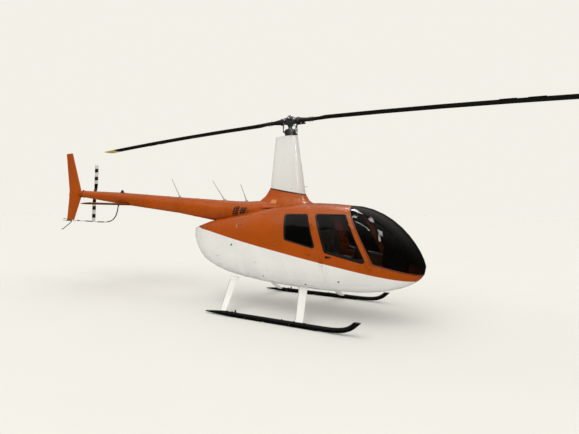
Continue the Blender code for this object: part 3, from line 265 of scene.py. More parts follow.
class Finish:
    """A node material in the making: a Principled shader and helpers for what feeds it."""

    def __init__(self, name, roughness=0.5, coat=0.0, specular=0.5, sheen=0.0, metallic=0.0, alpha=1.0):
        self.material = bpy.data.materials.new(name)
        self.material.use_nodes = True
        self.tree = self.material.node_tree
        self.shader = self.tree.nodes["Principled BSDF"]
        self.roughness = roughness
        for socket, value in (
            ("Roughness", roughness),
            ("Metallic", metallic),
            ("Coat Weight", coat),
            ("Coat Roughness", 0.04),
            ("Alpha", alpha),
            ("Specular IOR Level", specular),
            ("Sheen Weight", sheen),
        ):
            self.shader.inputs[socket].default_value = value
        self.place = self.node("TexCoord").outputs["Object"]
        self.axes = self.node("SeparateXYZ", {"Vector": self.place}).outputs

    def node(self, kind, inputs=None, **settings):
        made = self.tree.nodes.new("ShaderNode" + kind)
        for key, value in settings.items():
            setattr(made, key, value)
        for key, value in (inputs or {}).items():
            self.feed(made.inputs[key], value)
        return made

    def feed(self, socket, value):
        if isinstance(value, bpy.types.NodeSocket):
            self.tree.links.new(value, socket)
        elif socket.type == "RGBA" and len(value) == 3:
            socket.default_value = (*value, 1.0)
        else:
            socket.default_value = value

    def math(self, operation, a, b=0.0):
        return self.node("Math", {0: a, 1: b}, operation=operation).outputs[0]

    def spread(self, value, low, high, start=0.0, end=1.0):
        """The value carried from low..high to start..end, smooth and clamped."""
        made = self.node(
            "MapRange",
            {"Value": value, "From Min": low, "From Max": high, "To Min": start, "To Max": end},
            interpolation_type="SMOOTHSTEP",
        )
        return made.outputs["Result"]

    def noise(self, scale, detail=3.0, stretch=(1.0, 1.0, 1.0), rough=0.5):
        moved = self.node("Mapping", {"Vector": self.place, "Scale": stretch})
        made = self.node(
            "TexNoise", {"Vector": moved.outputs[0], "Scale": scale, "Detail": detail, "Roughness": rough}
        )
        return made.outputs["Fac"]

    def mix(self, factor, a, b):
        made = self.tree.nodes.new("ShaderNodeMix")
        made.data_type = "RGBA"
        self.feed(made.inputs[0], factor)
        self.feed(made.inputs[6], a)
        self.feed(made.inputs[7], b)
        return made.outputs[2]

    def mottled(self, colour, amount=0.08, scale=1.5, detail=4.0):
        """The colour with soft patches a little darker and lighter."""
        dark = tuple(c * (1 - amount) for c in colour)
        light = tuple(min(1.0, c * (1 + amount)) for c in colour)
        return self.mix(self.spread(self.noise(scale, detail), 0.35, 0.65), dark, light)

    def past(self, value, edge, soft=0.001):
        """1 past the edge, 0 before it."""
        return self.spread(value, edge - soft, edge + soft)

    def striped(self, value, edges):
        """0 before the first edge, then 1 and 0 in turn past each further edge."""
        total = self.past(value, edges[0])
        for number, edge in enumerate(edges[1:], 1):
            total = self.math("SUBTRACT" if number % 2 else "ADD", total, self.past(value, edge))
        return total

    def bump(self, height, strength, distance):
        made = self.node("Bump", {"Height": height, "Strength": strength, "Distance": distance})
        previous = self.shader.inputs["Normal"]
        if previous.is_linked:
            self.tree.links.new(previous.links[0].from_socket, made.inputs["Normal"])
        self.tree.links.new(made.outputs["Normal"], previous)

    def done(self, colour, scatter=0.15, scale=6.0):
        """Set the colour and let the roughness wander by that share."""
        self.feed(self.shader.inputs["Base Color"], colour)
        low, high = self.roughness * (1 - scatter), min(1.0, self.roughness * (1 + scatter))
        self.feed(self.shader.inputs["Roughness"], self.spread(self.noise(scale, 5.0), 0.3, 0.7, low, high))
        return self.material


def paint_mask(finish):
    """1 above the paint line, 0 below it."""
    first, last = PAINT_LINE[0], PAINT_LINE[-1]
    low, high = last[1], first[1]
    share = finish.node(
        "MapRange",
        {"Value": finish.axes["X"], "From Min": first[0] + MAST_X, "From Max": last[0] + MAST_X},
    )
    curve = finish.node("FloatCurve", {"Value": share.outputs["Result"]})
    line = curve.mapping.curves[0]
    places = [((x - first[0]) / (last[0] - first[0]), (z - low) / (high - low)) for x, z in PAINT_LINE]
    line.points[0].location = places[0]
    line.points[1].location = places[-1]
    for place in places[1:-1]:
        line.points.new(*place)
    curve.mapping.update()
    height = finish.math("MULTIPLY_ADD", curve.outputs["Value"], high - low)
    height.node.inputs[2].default_value = low
    over = finish.math("SUBTRACT", finish.axes["Z"], height)
    return finish.past(over, 0.0, 0.0015)


def scaled(tone, share):
    return tuple(c * share for c in tone)


def grain(scale, detail):
    return lambda f: f.noise(scale, detail)


def pebbles(scale):
    return lambda f: f.node("TexVoronoi", {"Vector": f.place, "Scale": scale}).outputs["Distance"]


def ribs(axis, pitch):
    return lambda f: f.math("SINE", f.math("MULTIPLY", f.axes[axis], pitch))


def twill(f):
    return f.node("TexWave", {"Vector": f.place, "Scale": 190.0, "Distortion": 0.6}).outputs["Fac"]


# Plain finishes: name; roughness, coat, specular and sheen; colour with the strength and scale of its
# mottling; relief with its strength and depth; how far the roughness wanders, where it isn't the usual share
PLAIN_FINISHES = {
    # mast_white: the body white a little darker, as painted shade on the fairing
    "mast_white": (
        "fairing_white_painted_shade", (0.34, 0.2, 0.25), (FAIRING_SHADED_WHITE, 0.02, 2.0), grain(140.0, 2.0), (0.05, 0.0006)
    ),
    "aerial": ("aerial_sleeve", (0.5,), (AERIAL_GREY, 0.08, 20.0), None, ()),
    "seam": ("dark_fitting", (0.5, 0.0, 0.35), (SEAM_BROWN, 0.2, 20.0), grain(150.0, 3.0), (0.15, 0.0006)),
    "dial": ("gauge_face", (0.25, 0.6), (BLACK, 0.3, 30.0), None, ()),
    "border": ("window_border_black", (0.20, 0.0, 0.2), (BLACK, 0.2, 30.0), grain(90.0, 2.0), (0.03, 0.0004)),
    "trim": ("door_panel_brown", (0.62,), (TRIM_BROWN, 0.12, 8.0), pebbles(340.0), (0.3, 0.0008)),
    "sill": ("sill_grey_moulding", (0.55,), (SILL_GREY, 0.07, 9.0), grain(260.0, 3.0), (0.2, 0.0006)),
    "belt": ("woven_webbing", (0.8, 0.0, 0.5, 0.2), (WEBBING, 0.25, 60.0), twill, (0.5, 0.0012)),
    "lamp": ("clear_lamp_glass", (0.06, 0.4), (LAMP_CLEAR, 0.1, 40.0), ribs("Y", 900.0), (0.3, 0.0005)),
    "leather": ("seat_hide", (0.48, 0.0, 0.45), (LEATHER, 0.18, 7.0), pebbles(260.0), (0.35, 0.0010), 0.2),
    "lining": ("cabin_lining", (0.75,), (LINING, 0.08, 6.0), grain(320.0, 2.0), (0.25, 0.0008)),
    "plastic": ("moulded_plastic", (0.58,), (PLASTIC, 0.15, 9.0), pebbles(500.0), (0.3, 0.0006), 0.2),
    "rubber": ("rubber_seal", (0.62,), (RUBBER, 0.2, 15.0), grain(120.0, 3.0), (0.2, 0.0006)),
    "lens": ("red_lamp_lens", (0.12, 0.5), (LAMP_RED, 0.3, 60.0), ribs("Z", 1800.0), (0.3, 0.0006)),
    "floor": ("pale_floor", (0.9, 0.0, 0.1), (FLOOR, 0.004, 0.8), grain(30.0, 3.0), (0.05, 0.001), 0.02),
}


def gloss_paint(name, build):
    """Sprayed gloss paint with a faint orange peel and thin patches of dust."""
    finish = Finish(name, *GLOSS)
    finish.shader.inputs["Specular Tint"].default_value = (*GLOSS_TINT, 1.0)
    dust = finish.spread(finish.noise(2.2, 6.0), 0.45, 0.75, 0.0, 0.02)
    finish.bump(finish.noise(160.0, 2.0), 0.05, 0.0006)
    return finish.done(finish.mix(dust, build(finish), DUST))


def orange_with_aerials(finish):
    """Orange, but the thin aerials that stand on the same solids stay grey."""
    above = None
    x, z = finish.axes["X"], finish.axes["Z"]
    for low_x, high_x, level in AERIAL_ZONES:
        inside = finish.math("SUBTRACT", finish.past(x, low_x + MAST_X), finish.past(x, high_x + MAST_X))
        zone = finish.math("MULTIPLY", inside, finish.past(z, level))
        above = zone if above is None else finish.math("MAXIMUM", above, zone)
    return finish.mix(above, finish.mottled(ORANGE, 0.06), AERIAL_GREY)


def two_tone(finish):
    orange = finish.mottled(ORANGE, 0.05)
    white = finish.mottled(WHITE, 0.025, 2.5)
    return finish.mix(paint_mask(finish), white, orange)


def make_finishes():
    made = {
        "two_tone": gloss_paint("two_tone_paint", two_tone),
        "orange": gloss_paint("orange_paint", lambda f: f.mottled(ORANGE, 0.06)),
        "orange_aerials": gloss_paint("orange_paint_roof", orange_with_aerials),
        "white": gloss_paint("white_gloss", lambda f: f.mottled(WHITE, 0.025, 2.5)),
        # patch: pale orange, a painted highlight on the pylon foot's hatch
        "patch": gloss_paint("painted_highlight_paint", lambda f: f.mottled(PAINTED_HIGHLIGHT_ORANGE, 0.06, 12.0)),
    }
    for key, (name, shader, mottling, relief, bump, *wander) in PLAIN_FINISHES.items():
        finish = Finish(name, *shader)
        if relief:
            finish.bump(relief(finish), *bump)
        made[key] = finish.done(finish.mottled(*mottling), *wander)

    finish = Finish("blade_black_olive", roughness=0.45, specular=0.3)
    streak = finish.noise(9.0, 5.0, (0.12, 2.0, 2.0))
    dark = finish.mix(finish.spread(streak, 0.3, 0.7), *BLADE_BLACKS)
    olive = finish.mottled(OLIVE, 0.12, 12.0)
    reach = finish.math("ABSOLUTE", finish.math("SUBTRACT", finish.axes["X"], MAST_X))
    tip = finish.past(reach, BLADE_TIP_EDGE, 0.002)
    finish.bump(finish.noise(220.0, 2.0), 0.08, 0.0005)
    made["blade"] = finish.done(finish.mix(tip, dark, olive))

    finish = Finish("banded_blade", roughness=0.40, coat=0.1, specular=0.3)
    away = finish.math("ABSOLUTE", finish.math("SUBTRACT", finish.axes["Z"], TAIL_HUB[2]))
    pale = finish.striped(away, TAIL_BANDS)
    colour = finish.mix(pale, finish.mottled(BAND_BLACK, 0.2, 20.0), finish.mottled(BAND_WHITE, 0.05, 20.0))
    made["bands"] = finish.done(colour)

    finish = Finish("guard_stripes", roughness=0.38, coat=0.1, specular=0.3)
    from_mast = finish.math("SUBTRACT", finish.axes["X"], MAST_X)
    red = finish.striped(from_mast, GUARD_BANDS)
    colour = finish.mix(red, finish.mottled(BAND_WHITE, 0.1, 14.0), finish.mottled(GUARD_RED, 0.2, 14.0))
    tail = finish.past(from_mast, TAIL_SKID_START)
    made["guard"] = finish.done(finish.mix(tail, SATIN_GREY, colour))

    # Stabilizer: orange above the line, dark brown below it as painted shade on the underside
    finish = Finish("stabilizer_orange_with_painted_shade", *GLOSS)
    over = finish.past(finish.axes["Z"], STABILIZER_SHADE_LINE)
    colour = finish.mix(over, finish.mottled(UNDERSIDE_SHADE_BROWN, 0.1, 5.0), finish.mottled(ORANGE, 0.06))
    made["stabilizer"] = finish.done(colour)

    # Inlet screen: a woven mesh whose dark colour is also painted shade of the opening behind it
    finish = Finish("inlet_mesh_and_painted_shade", roughness=0.6, specular=0.25)
    weave = finish.spread(finish.math("MAXIMUM", *(ribs(axis, 700.0)(finish) for axis in "XZ")), 0.55, 0.85)
    finish.bump(weave, 0.6, 0.0015)
    made["grille"] = finish.done(finish.mix(weave, INLET_MESH_AND_SHADE_DARK, scaled(INLET_MESH_AND_SHADE_DARK, 2.2)))

    finish = Finish("satin_black", roughness=0.42, specular=0.12)
    wear = finish.spread(finish.noise(18.0, 8.0, rough=0.7), 0.62, 0.75, 0.0, 0.35)
    colour = finish.mix(wear, finish.mottled(SATIN_BLACK, 0.25, 8.0), SATIN_GREY)
    finish.bump(finish.noise(300.0, 3.0), 0.12, 0.0006)
    made["satin"] = finish.done(colour)

    finish = Finish("head_metal_dark", roughness=0.34, metallic=0.55)
    oil = finish.spread(finish.noise(14.0, 6.0), 0.4, 0.7)
    colour = finish.mix(oil, HEAD_GREY, scaled(HEAD_GREY, 0.45))
    finish.bump(finish.noise(180.0, 4.0), 0.1, 0.0006)
    made["head"] = finish.done(colour, 0.3)

    for key, name, tone, rough in (
        ("steel", "bare_steel", STEEL, 0.28),
        ("aluminium", "bare_aluminium", ALUMINIUM, 0.36),
        ("cast", "cast_alloy", CAST_GREY, 0.55),
    ):
        finish = Finish(name, roughness=rough, metallic=1.0)
        brushed = finish.noise(60.0, 4.0, (1.0, 1.0, 0.08))
        finish.bump(brushed, 0.06, 0.0004)
        made[key] = finish.done(finish.mix(finish.spread(brushed, 0.3, 0.7), scaled(tone, 0.75), tone), 0.3)

    finish = Finish("heat_tinted_pipe", roughness=0.42, metallic=0.9)
    heat = finish.spread(finish.axes["Z"], 0.45, 0.62)
    stain = finish.spread(finish.noise(22.0, 6.0), 0.4, 0.7)
    made["exhaust"] = finish.done(finish.mix(stain, finish.mix(heat, PIPE_BROWN, TITANIUM), PIPE_SOOT), 0.3)

    for key, name, alpha in (("glass", "tinted_glazing", 0.85), ("rear_glass", "dark_glazing", 0.98)):
        finish = Finish(name, roughness=0.02, alpha=alpha, specular=0.13)
        smear = finish.spread(finish.noise(5.0, 6.0, (1.0, 1.0, 0.4)), 0.3, 0.7)
        made[key] = finish.done(finish.mix(smear, TINT, scaled(TINT, 1.4)), 0.5)

    finish = Finish("loop_carpet", roughness=0.95, sheen=0.3)
    loops = finish.noise(420.0, 3.0)
    finish.bump(loops, 0.7, 0.003)
    made["carpet"] = finish.done(finish.mix(finish.spread(loops, 0.3, 0.7), CARPET, scaled(CARPET, 1.8)))
    return made


MATERIALS = make_finishes()


def both(*names):
    """Each name for the left and for the right."""
    return tuple(f"{name}_{side}" for name in names for side in ("left", "right"))


# Finish of each CAD node that shows
NODE_FINISH = {
    "two_tone": ("cabin_shell", "aft_cowl", "baggage_door", *both("front_door", "rear_door")),
    "orange_aerials": ("pylon_cowl", "tail_boom"),
    "orange": ("vertical_fin", "tail_gearbox"),
    "stabilizer": ("stabilizer",),
    "mast_white": ("mast_fairing",),
    "white": both("leg_front", "leg_rear"),
    "blade": ("main_blade_1", "main_blade_2"),
    "bands": ("tail_blade_1", "tail_blade_2"),
    "guard": ("tail_guard",),
    "satin": (*both("skid"), "windshield_bow"),
    "head": ("rotor_hub", "swashplate", "mast_tube", "tail_rotor_hub"),
    "steel": ("firewall",),
    "cast": ("engine_block", "main_gearbox"),
    "exhaust": ("exhaust_pipe",),
    "glass": both("front_window", "windshield"),
    "rear_glass": both("rear_window"),
    "leather": (*both("front_seat"), "rear_seat"),
    "carpet": ("cabin_floor",),
    "lining": ("rear_bulkhead", "gearbox_deck", "front_seat_base", "rear_seat_base"),
    "plastic": ("instrument_console", "cyclic_stick"),
    "lens": ("beacon",),
}


def shading_group(angle):
    """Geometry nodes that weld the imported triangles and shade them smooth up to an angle."""
    group = bpy.data.node_groups.new("smooth_skin", "GeometryNodeTree")
    group.interface.new_socket("Geometry", in_out="INPUT", socket_type="NodeSocketGeometry")
    group.interface.new_socket("Geometry", in_out="OUTPUT", socket_type="NodeSocketGeometry")
    make = group.nodes.new
    start, end = make("NodeGroupInput"), make("NodeGroupOutput")
    clear = make("GeometryNodeRemoveAttribute")
    clear.inputs["Name"].default_value = "custom_normal"
    weld = make("GeometryNodeMergeByDistance")
    weld.inputs["Distance"].default_value = 0.00002
    faces = make("GeometryNodeSetShadeSmooth")
    faces.domain = "FACE"
    edges = make("GeometryNodeSetShadeSmooth")
    edges.domain = "EDGE"
    edges.inputs["Shade Smooth"].default_value = False
    fold = make("GeometryNodeInputMeshEdgeAngle")
    sharp = make("FunctionNodeCompare")
    sharp.data_type = "FLOAT"
    sharp.operation = "GREATER_THAN"
    sharp.inputs["B"].default_value = math.radians(angle)
    join = group.links.new
    join(start.outputs[0], clear.inputs["Geometry"])
    join(clear.outputs[0], weld.inputs["Geometry"])
    join(weld.outputs[0], faces.inputs["Geometry"])
    join(faces.outputs[0], edges.inputs["Geometry"])
    join(fold.outputs["Unsigned Angle"], sharp.inputs["A"])
    join(sharp.outputs["Result"], edges.inputs["Selection"])
    join(edges.outputs[0], end.inputs[0])
    return group


def dress_nodes():
    group = shading_group(32)
    for key, names in NODE_FINISH.items():
        for name in names:
            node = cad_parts[name]
            node.data.materials.clear()
            node.data.materials.append(MATERIALS[key])
            step = node.modifiers.new("smooth_skin", "NODES")
            step.node_group = group
            weigh = node.modifiers.new("weighted", "WEIGHTED_NORMAL")
            weigh.keep_sharp = True


# Geometry tools


def at(x, y, z):
    """A point given from the mast, in the frame's own coordinates."""
    return Vector((x + MAST_X, y, z))


def turns(count, start=0.0):
    return [start + math.tau * i / count for i in range(count)]


def oblong(half_width, half_height):
    w, h = half_width, half_height
    return (-w, -h), (w, -h), (w, h), (-w, h)


def rounded(corners, radius, inset=0.0, steps=4):
    """The convex outline moved inwards by inset, with an arc at each corner."""
    corners = [Vector(c) for c in corners]
    middle = sum(corners, Vector((0, 0))) / len(corners)
    lines = []
    for a, b in zip(corners, corners[1:] + corners[:1]):
        along = (b - a).normalized()
        normal = Vector((-along.y, along.x))
        if normal.dot(middle - a) < 0:
            normal = -normal
        lines.append((a + normal * inset, along))
    outline = []
    for i, (q, e) in enumerate(lines):
        p, d = lines[i - 1]
        cross = d.x * e.y - d.y * e.x
        corner = p + d * (((q.x - p.x) * e.y - (q.y - p.y) * e.x) / cross)
        half = d.angle(e) / 2
        start = corner - d * radius * math.tan(half)
        centre = corner + (e - d).normalized() * radius / math.cos(half)
        sweep = d.angle_signed(e)
        for k in range(steps + 1):
            spoke = start - centre
            spoke.rotate(Matrix.Rotation(-sweep * k / steps, 2))
            outline.append(centre + spoke)
    return outline


def finer(path, parts, closed=True):
    """The path with each stretch cut into equal parts; parts may be a list, one for each."""
    path = [Vector(p) for p in path]
    ends = path[1:] + path[:1] if closed else path[1:]
    shares = parts if hasattr(parts, "__len__") else [parts] * len(ends)
    made = [a.lerp(b, k / n) for a, b, n in zip(path, ends, shares) for k in range(n)]
    return made if closed else made + [path[-1]]


def even_parts(outline, step=0.03):
    """How many parts each stretch of a closed outline needs for about that step."""
    outline = [Vector(p) for p in outline]
    return [max(1, math.ceil((b - a).length / step)) for a, b in zip(outline, outline[1:] + outline[:1])]


class Skin:
    """The outer surface of some meshes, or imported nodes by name, for laying detail on it."""

    def __init__(self, *sources):
        verts, faces = [], []
        for source in sources:
            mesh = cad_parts[source].data if isinstance(source, str) else source
            base = len(verts)
            verts += [v.co.copy() for v in mesh.vertices]
            faces += [tuple(base + i for i in p.vertices) for p in mesh.polygons]
        self.tree = BVHTree.FromPolygons(verts, faces)

    def hit(self, origin, direction):
        direction = Vector(direction).normalized()
        point, normal, _, _ = self.tree.ray_cast(Vector(origin), direction)
        if point is None:
            point, normal, _, _ = self.tree.find_nearest(Vector(origin) + direction * 2.3)
        return point, -normal if normal.dot(direction) > 0 else normal

    def spot(self, origin, direction, reach=0.02):
        """Where a ray meets the skin, with the normal taken as the mean around that point."""
        origin, direction = Vector(origin), Vector(direction)
        point, normal = self.hit(origin, direction)
        one = direction.orthogonal().normalized() * reach
        two = direction.cross(one).normalized() * reach
        for step in (one, -one, two, -two):
            near, more = self.hit(origin + step, direction)
            if (near - point).length < 4 * reach:
                normal = normal + more
        return point, normal.normalized()

    def side(self, x, z, side, reach=0.02):
        return self.spot((x, side * 3.0, z), (0, -side, 0), reach)


def spots(skin, side, path):
    return [skin.side(p[0], p[1], side) for p in path]


def patch(skin, corners, side, columns, rows):
    """A grid of spots on a skin, spread between four corners in side view."""
    a, b, c, d = (Vector(p) for p in corners)
    grid = []
    for v in range(rows + 1):
        start, end = a.lerp(d, v / rows), b.lerp(c, v / rows)
        grid.append(spots(skin, side, [start.lerp(end, u / columns) for u in range(columns + 1)]))
    return grid


# Turned profiles in shares of a fastener's size, from below its seat: (height, radius)
WASHER = ((-1.0, 1.5), (0.2, 1.5), (0.25, 1.4))
HEXAGON = ((0.0, 1.0), (0.8, 1.0), (0.95, 0.8))
DOME = ((-1.0, 1.0), (0.1, 1.0), (0.35, 0.75), (0.5, 0.3))


class Shape:
    """A mesh in the making, from tubes, turned forms, plates and strips; each step returns the shape."""

    def __init__(self):
        self.bm = bmesh.new()

    def skin(self, rings, closed=True, caps=True):
        rows = [[self.bm.verts.new(p) for p in ring] for ring in rings]
        for low, high in zip(rows, rows[1:]):
            count = len(low)
            for i in range(count if closed else count - 1):
                j = (i + 1) % count
                self.bm.faces.new((low[i], low[j], high[j], high[i]))
        if caps and closed:
            self.bm.faces.new(rows[0][::-1])
            self.bm.faces.new(rows[-1])
        return self

    def tube(self, points, radius, sides=12, flat=1.0, lean=None):
        """A tube along the points; radius may be a list, flat squeezes it across lean."""
        points = [Vector(p) for p in points]
        radii = radius if hasattr(radius, "__len__") else [radius] * len(points)
        across = Vector(lean).normalized() if lean else None
        angles = turns(sides, math.pi / sides)
        rings = []
        for i, (point, radius) in enumerate(zip(points, radii)):
            along = (points[min(i + 1, len(points) - 1)] - points[max(i - 1, 0)]).normalized()
            if across is None:
                helper = Vector((0, 0, 1)) if abs(along.z) < 0.9 else Vector((0, 1, 0))
                across = along.cross(helper)
            across = (across - along * across.dot(along)).normalized()
            other = along.cross(across)
            spokes = [across * math.cos(a) + other * (math.sin(a) * flat) for a in angles]
            rings.append([point + spoke * radius for spoke in spokes])
        return self.skin(rings)

    def turned(self, origin, axis, profile, sides=20, hollow=False):
        """A profile of (height, radius) turned about an axis; a hollow one closes on itself."""
        axis = Vector(axis).normalized()
        helper = Vector((1, 0, 0)) if abs(axis.x) < 0.9 else Vector((0, 1, 0))
        across = axis.cross(helper).normalized()
        other = axis.cross(across)
        spokes = [across * math.cos(a) + other * math.sin(a) for a in turns(sides)]
        rings = []
        for height, radius in profile:
            centre = Vector(origin) + axis * height
            rings.append([centre + spoke * radius for spoke in spokes])
        if hollow:
            rings.append(rings[0])
        return self.skin(rings, caps=not hollow)

    def block(self, low, high, bevel, turn=None):
        """A box between two corners, its edges rounded, turned by a matrix about its middle."""
        made = bmesh.ops.create_cube(self.bm, size=1.0)["verts"]
        bmesh.ops.scale(self.bm, vec=[b - a for a, b in zip(low, high)], verts=made)
        edges = list({e for v in made for e in v.link_edges})
        grown = bmesh.ops.bevel(self.bm, geom=edges, offset=bevel, segments=2, profile=0.5, affect="EDGES")
        made = list({v for f in grown["faces"] for v in f.verts} | {v for v in made if v.is_valid})
        if turn is not None:
            bmesh.ops.transform(self.bm, matrix=turn, verts=made)
        bmesh.ops.translate(self.bm, vec=Vector([(a + b) / 2 for a, b in zip(low, high)]), verts=made)
        return self

    def plate(self, outline, origin, across, up, low, high, bevel):
        """An outline in the plane of across and up, thick from low to high along their cross."""
        origin, across, up = Vector(origin), Vector(across).normalized(), Vector(up).normalized()
        through = across.cross(up)
        base = [origin + across * a + up * b for a, b in outline]
        middle = sum(base, Vector()) / len(base)

        def level(height, inset):
            return [p + (middle - p).normalized() * inset + through * height for p in base]

        levels = ((low, bevel), (low + bevel, 0), (high - bevel, 0), (high, bevel))
        return self.skin([level(*place) for place in levels])

    def stud(self, point, normal, size, profile, sides):
        """A turned profile given in shares of a size."""
        profile = [(size * height, size * radius) for height, radius in profile]
        return self.turned(point, normal, profile, sides)

    def bolt(self, point, normal, size):
        """A hexagon head on its washer."""
        self.stud(point, normal, size, WASHER, 14)
        return self.stud(point, normal, size, HEXAGON, 6)

    def rivet(self, point, normal, size, sides=8):
        return self.stud(point, normal, size, DOME, sides)

    def bead(self, spots, width, height, closed=True, sink=0.003):
        """A half-round strip through points with their normals."""
        rings = []
        last = len(spots) - 1
        for i, (point, normal) in enumerate(spots):
            ahead = spots[(i + 1) % len(spots) if closed else min(i + 1, last)][0]
            behind = spots[i - 1 if closed or i else 0][0]
            across = (ahead - behind).cross(normal).normalized()
            ring = [point - across * width / 2 - normal * sink]
            for k in range(5):
                angle = math.pi * k / 4
                ring.append(point - across * math.cos(angle) * width / 2 + normal * math.sin(angle) * height)
            ring.append(point + across * width / 2 - normal * sink)
            rings.append(ring)
        if closed:
            rings.append(rings[0])
        return self.skin(rings, caps=not closed)

    def band(self, *rows):
        """A closed ring through loops of spots, each row a loop and its height over the skin."""
        rows = [[p + n * lift for p, n in loop] for loop, lift in rows]
        return self.skin(rows + [rows[0]], caps=False)

    def sheet(self, grid, low, high):
        """A thin plate over a grid of spots, from low to high along their normals."""
        make = self.bm.verts.new
        top, base = ([[make(p + n * lift) for p, n in row] for row in grid] for lift in (high, low))
        down, over = len(grid) - 1, len(grid[0]) - 1
        for level in (top, base):
            for j in range(down):
                for i in range(over):
                    self.bm.faces.new((level[j][i], level[j][i + 1], level[j + 1][i + 1], level[j + 1][i]))
        rim = [(0, i) for i in range(over)] + [(j, over) for j in range(down)]
        rim += [(down, i) for i in range(over, 0, -1)] + [(j, 0) for j in range(down, 0, -1)]
        for (j, i), (k, m) in zip(rim, rim[1:] + rim[:1]):
            self.bm.faces.new((top[j][i], top[k][m], base[k][m], base[j][i]))
        return self


def add_object(name, mesh, finish, body, stands_for=()):
    mesh.materials.append(MATERIALS[finish])
    made = bpy.data.objects.new(name, mesh)
    bpy.context.scene.collection.objects.link(made)
    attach(made, body)
    if stands_for:
        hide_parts(*stands_for)
    return made


def piece(name, shape, finish, body="airframe", stands_for=()):
    """Close the shape's mesh, shade it and let it ride on its body."""
    bm = shape.bm
    bmesh.ops.remove_doubles(bm, verts=bm.verts[:], dist=0.000005)
    bmesh.ops.recalc_face_normals(bm, faces=bm.faces[:])
    mesh = bpy.data.meshes.new(name)
    bm.to_mesh(mesh)
    bm.free()
    mesh.shade_smooth()
    mesh.set_sharp_from_angle(angle=math.radians(35))
    return add_object(name, mesh, finish, body, stands_for)


# Outlines on the cabin side, (x from the mast, z), as the solids are cut
FRONT_DOOR = ((0.640, 1.685), (1.162, 1.675), (1.520, 0.840), (1.450, 0.600), (0.945, 0.585))
FRONT_WINDOW = ((0.690, 1.645), (1.146, 1.637), (1.440, 0.948), (0.882, 1.075))
REAR_DOOR = ((0.130, 1.670), (0.590, 1.685), (0.885, 0.585), (0.260, 0.590), (0.130, 0.900))
REAR_WINDOW = ((0.185, 1.632), (0.548, 1.642), (0.685, 1.115), (0.203, 1.235))
BAGGAGE_DOOR = ((-0.500, 1.080), (-0.060, 1.060), (-0.060, 0.640), (-0.500, 0.660))
WINDSHIELD_EDGE = ((1.158, 1.790), (1.549, 0.919), (2.190, 0.739))
NOSE_HALF, NOSE_STEPS = 0.40, 12
FRONT_BORDER = ((0.668, 1.656), (1.156, 1.647), (1.473, 0.900), (0.846, 1.050))
REAR_BORDER = ((0.150, 1.649), (0.560, 1.654), (0.716, 1.094), (0.176, 1.224))
BORDER_CORNER = 0.042
DOOR_CORNER = 0.06
WINDOW_CORNER = 0.035
SIDES = {"right": -1, "left": 1}

# Middles of the hinge leaves, and how far from one the skin is hidden by it
HINGES = ((1.254, 1.460), (1.494, 0.900), (0.650, 1.460), (0.800, 0.900), (-0.060, 0.740), (-0.060, 0.970))
HINGE_ZONE = (0.042, 0.058)

# Width and height of the lip round a window border; jambs: insets of the outer and the inner loop with
# those of the solid skin beside them, and their levels from the skin
LIP = (0.006, 0.0026)
JAMB_INSETS = ((-0.001, -0.007), (0.0087, 0.016))
JAMB_LEVELS = (-0.020, -0.001)

# Inner door panels: corners from the top rear, clockwise
INNER_PANELS = {
    "front": ((0.865, 1.045), (1.455, 0.915), (1.420, 0.640), (0.965, 0.625)),
    "rear": ((0.175, 1.205), (0.690, 1.085), (0.820, 0.630), (0.285, 0.630)),
}
PANEL_LEVELS = (-0.036, -0.0288)
SILL_DEPTH, SILL_RISE, SILL_RADIUS = 0.046, 0.012, 0.026
PULL_ENDS = ((0.16, 0.90), (0.30, 0.87))
PULL_DEPTHS = (0.040, 0.062, 0.062, 0.062, 0.040)

# Outer handles: x, z and finish; the boss's turned profile; the lever's steps along x and from the skin
HANDLES = {"front": (0.880, 0.990, "satin"), "rear": (0.560, 1.030, "two_tone")}
HANDLE_BOSS = ((-0.004, 0.019), (0.003, 0.019), (0.005, 0.016))
HANDLE_LEVER = ((-0.008, 0.004), (0.0, 0.011), (0.030, 0.013), (0.060, 0.010), (0.066, 0.004))
LATCHES = ((-0.42, 0.685), (-0.16, 0.685))
LATCH_BOSS = ((-0.004, 0.013), (0.002, 0.013), (0.0035, 0.010))

# Flanks: profiles of caps and rings as height and share of the radius; dots as x, z, radius, ringed or not
CAP_PROFILE = ((-0.006, 1.0), (0.002, 1.0), (0.004, 0.8), (0.003, 0.4))
RING_PROFILE = ((-0.005, 1.5), (0.001, 1.5), (0.002, 1.2))
FLANK_DOTS = (
    (-0.920, 1.092, 0.020, True),
    (-0.793, 0.506, 0.016, False),
    (-0.244, 0.601, 0.011, False),
    (0.500, 0.528, 0.016, False),
    (1.047, 0.625, 0.014, False),
    (-1.310, 0.860, 0.008, False),
)
PALE_MARKS = (
    (((-0.813, 1.410), (-0.813, 1.464), (-0.653, 1.470)), 0.004),
    (((-0.395, 0.831), (-0.350, 0.831)), 0.0035),
    (((-0.013, 1.149), (0.035, 1.149)), 0.0035),
)

# Mast fairing as the solids have it: level, rear x, front x, half width, slope
FAIRING_POINTS = 56
FAIRING = (
    (2.0535, -0.400, 0.280, 0.170, -0.193),
    (2.400, -0.365, 0.235, 0.150, -0.12),
    (3.070, -0.290, 0.140, 0.105, 0.00),
)

# Cover on the fairing: how far each loop is grown past the fairing's top and its rise; the hole's radius
COVER_LEVELS = ((0.0035, 0.0), (0.002, 0.007), (-0.010, 0.010), (-0.002, -0.010), (0.0025, -0.012))
FAIRING_HOLE = 0.068

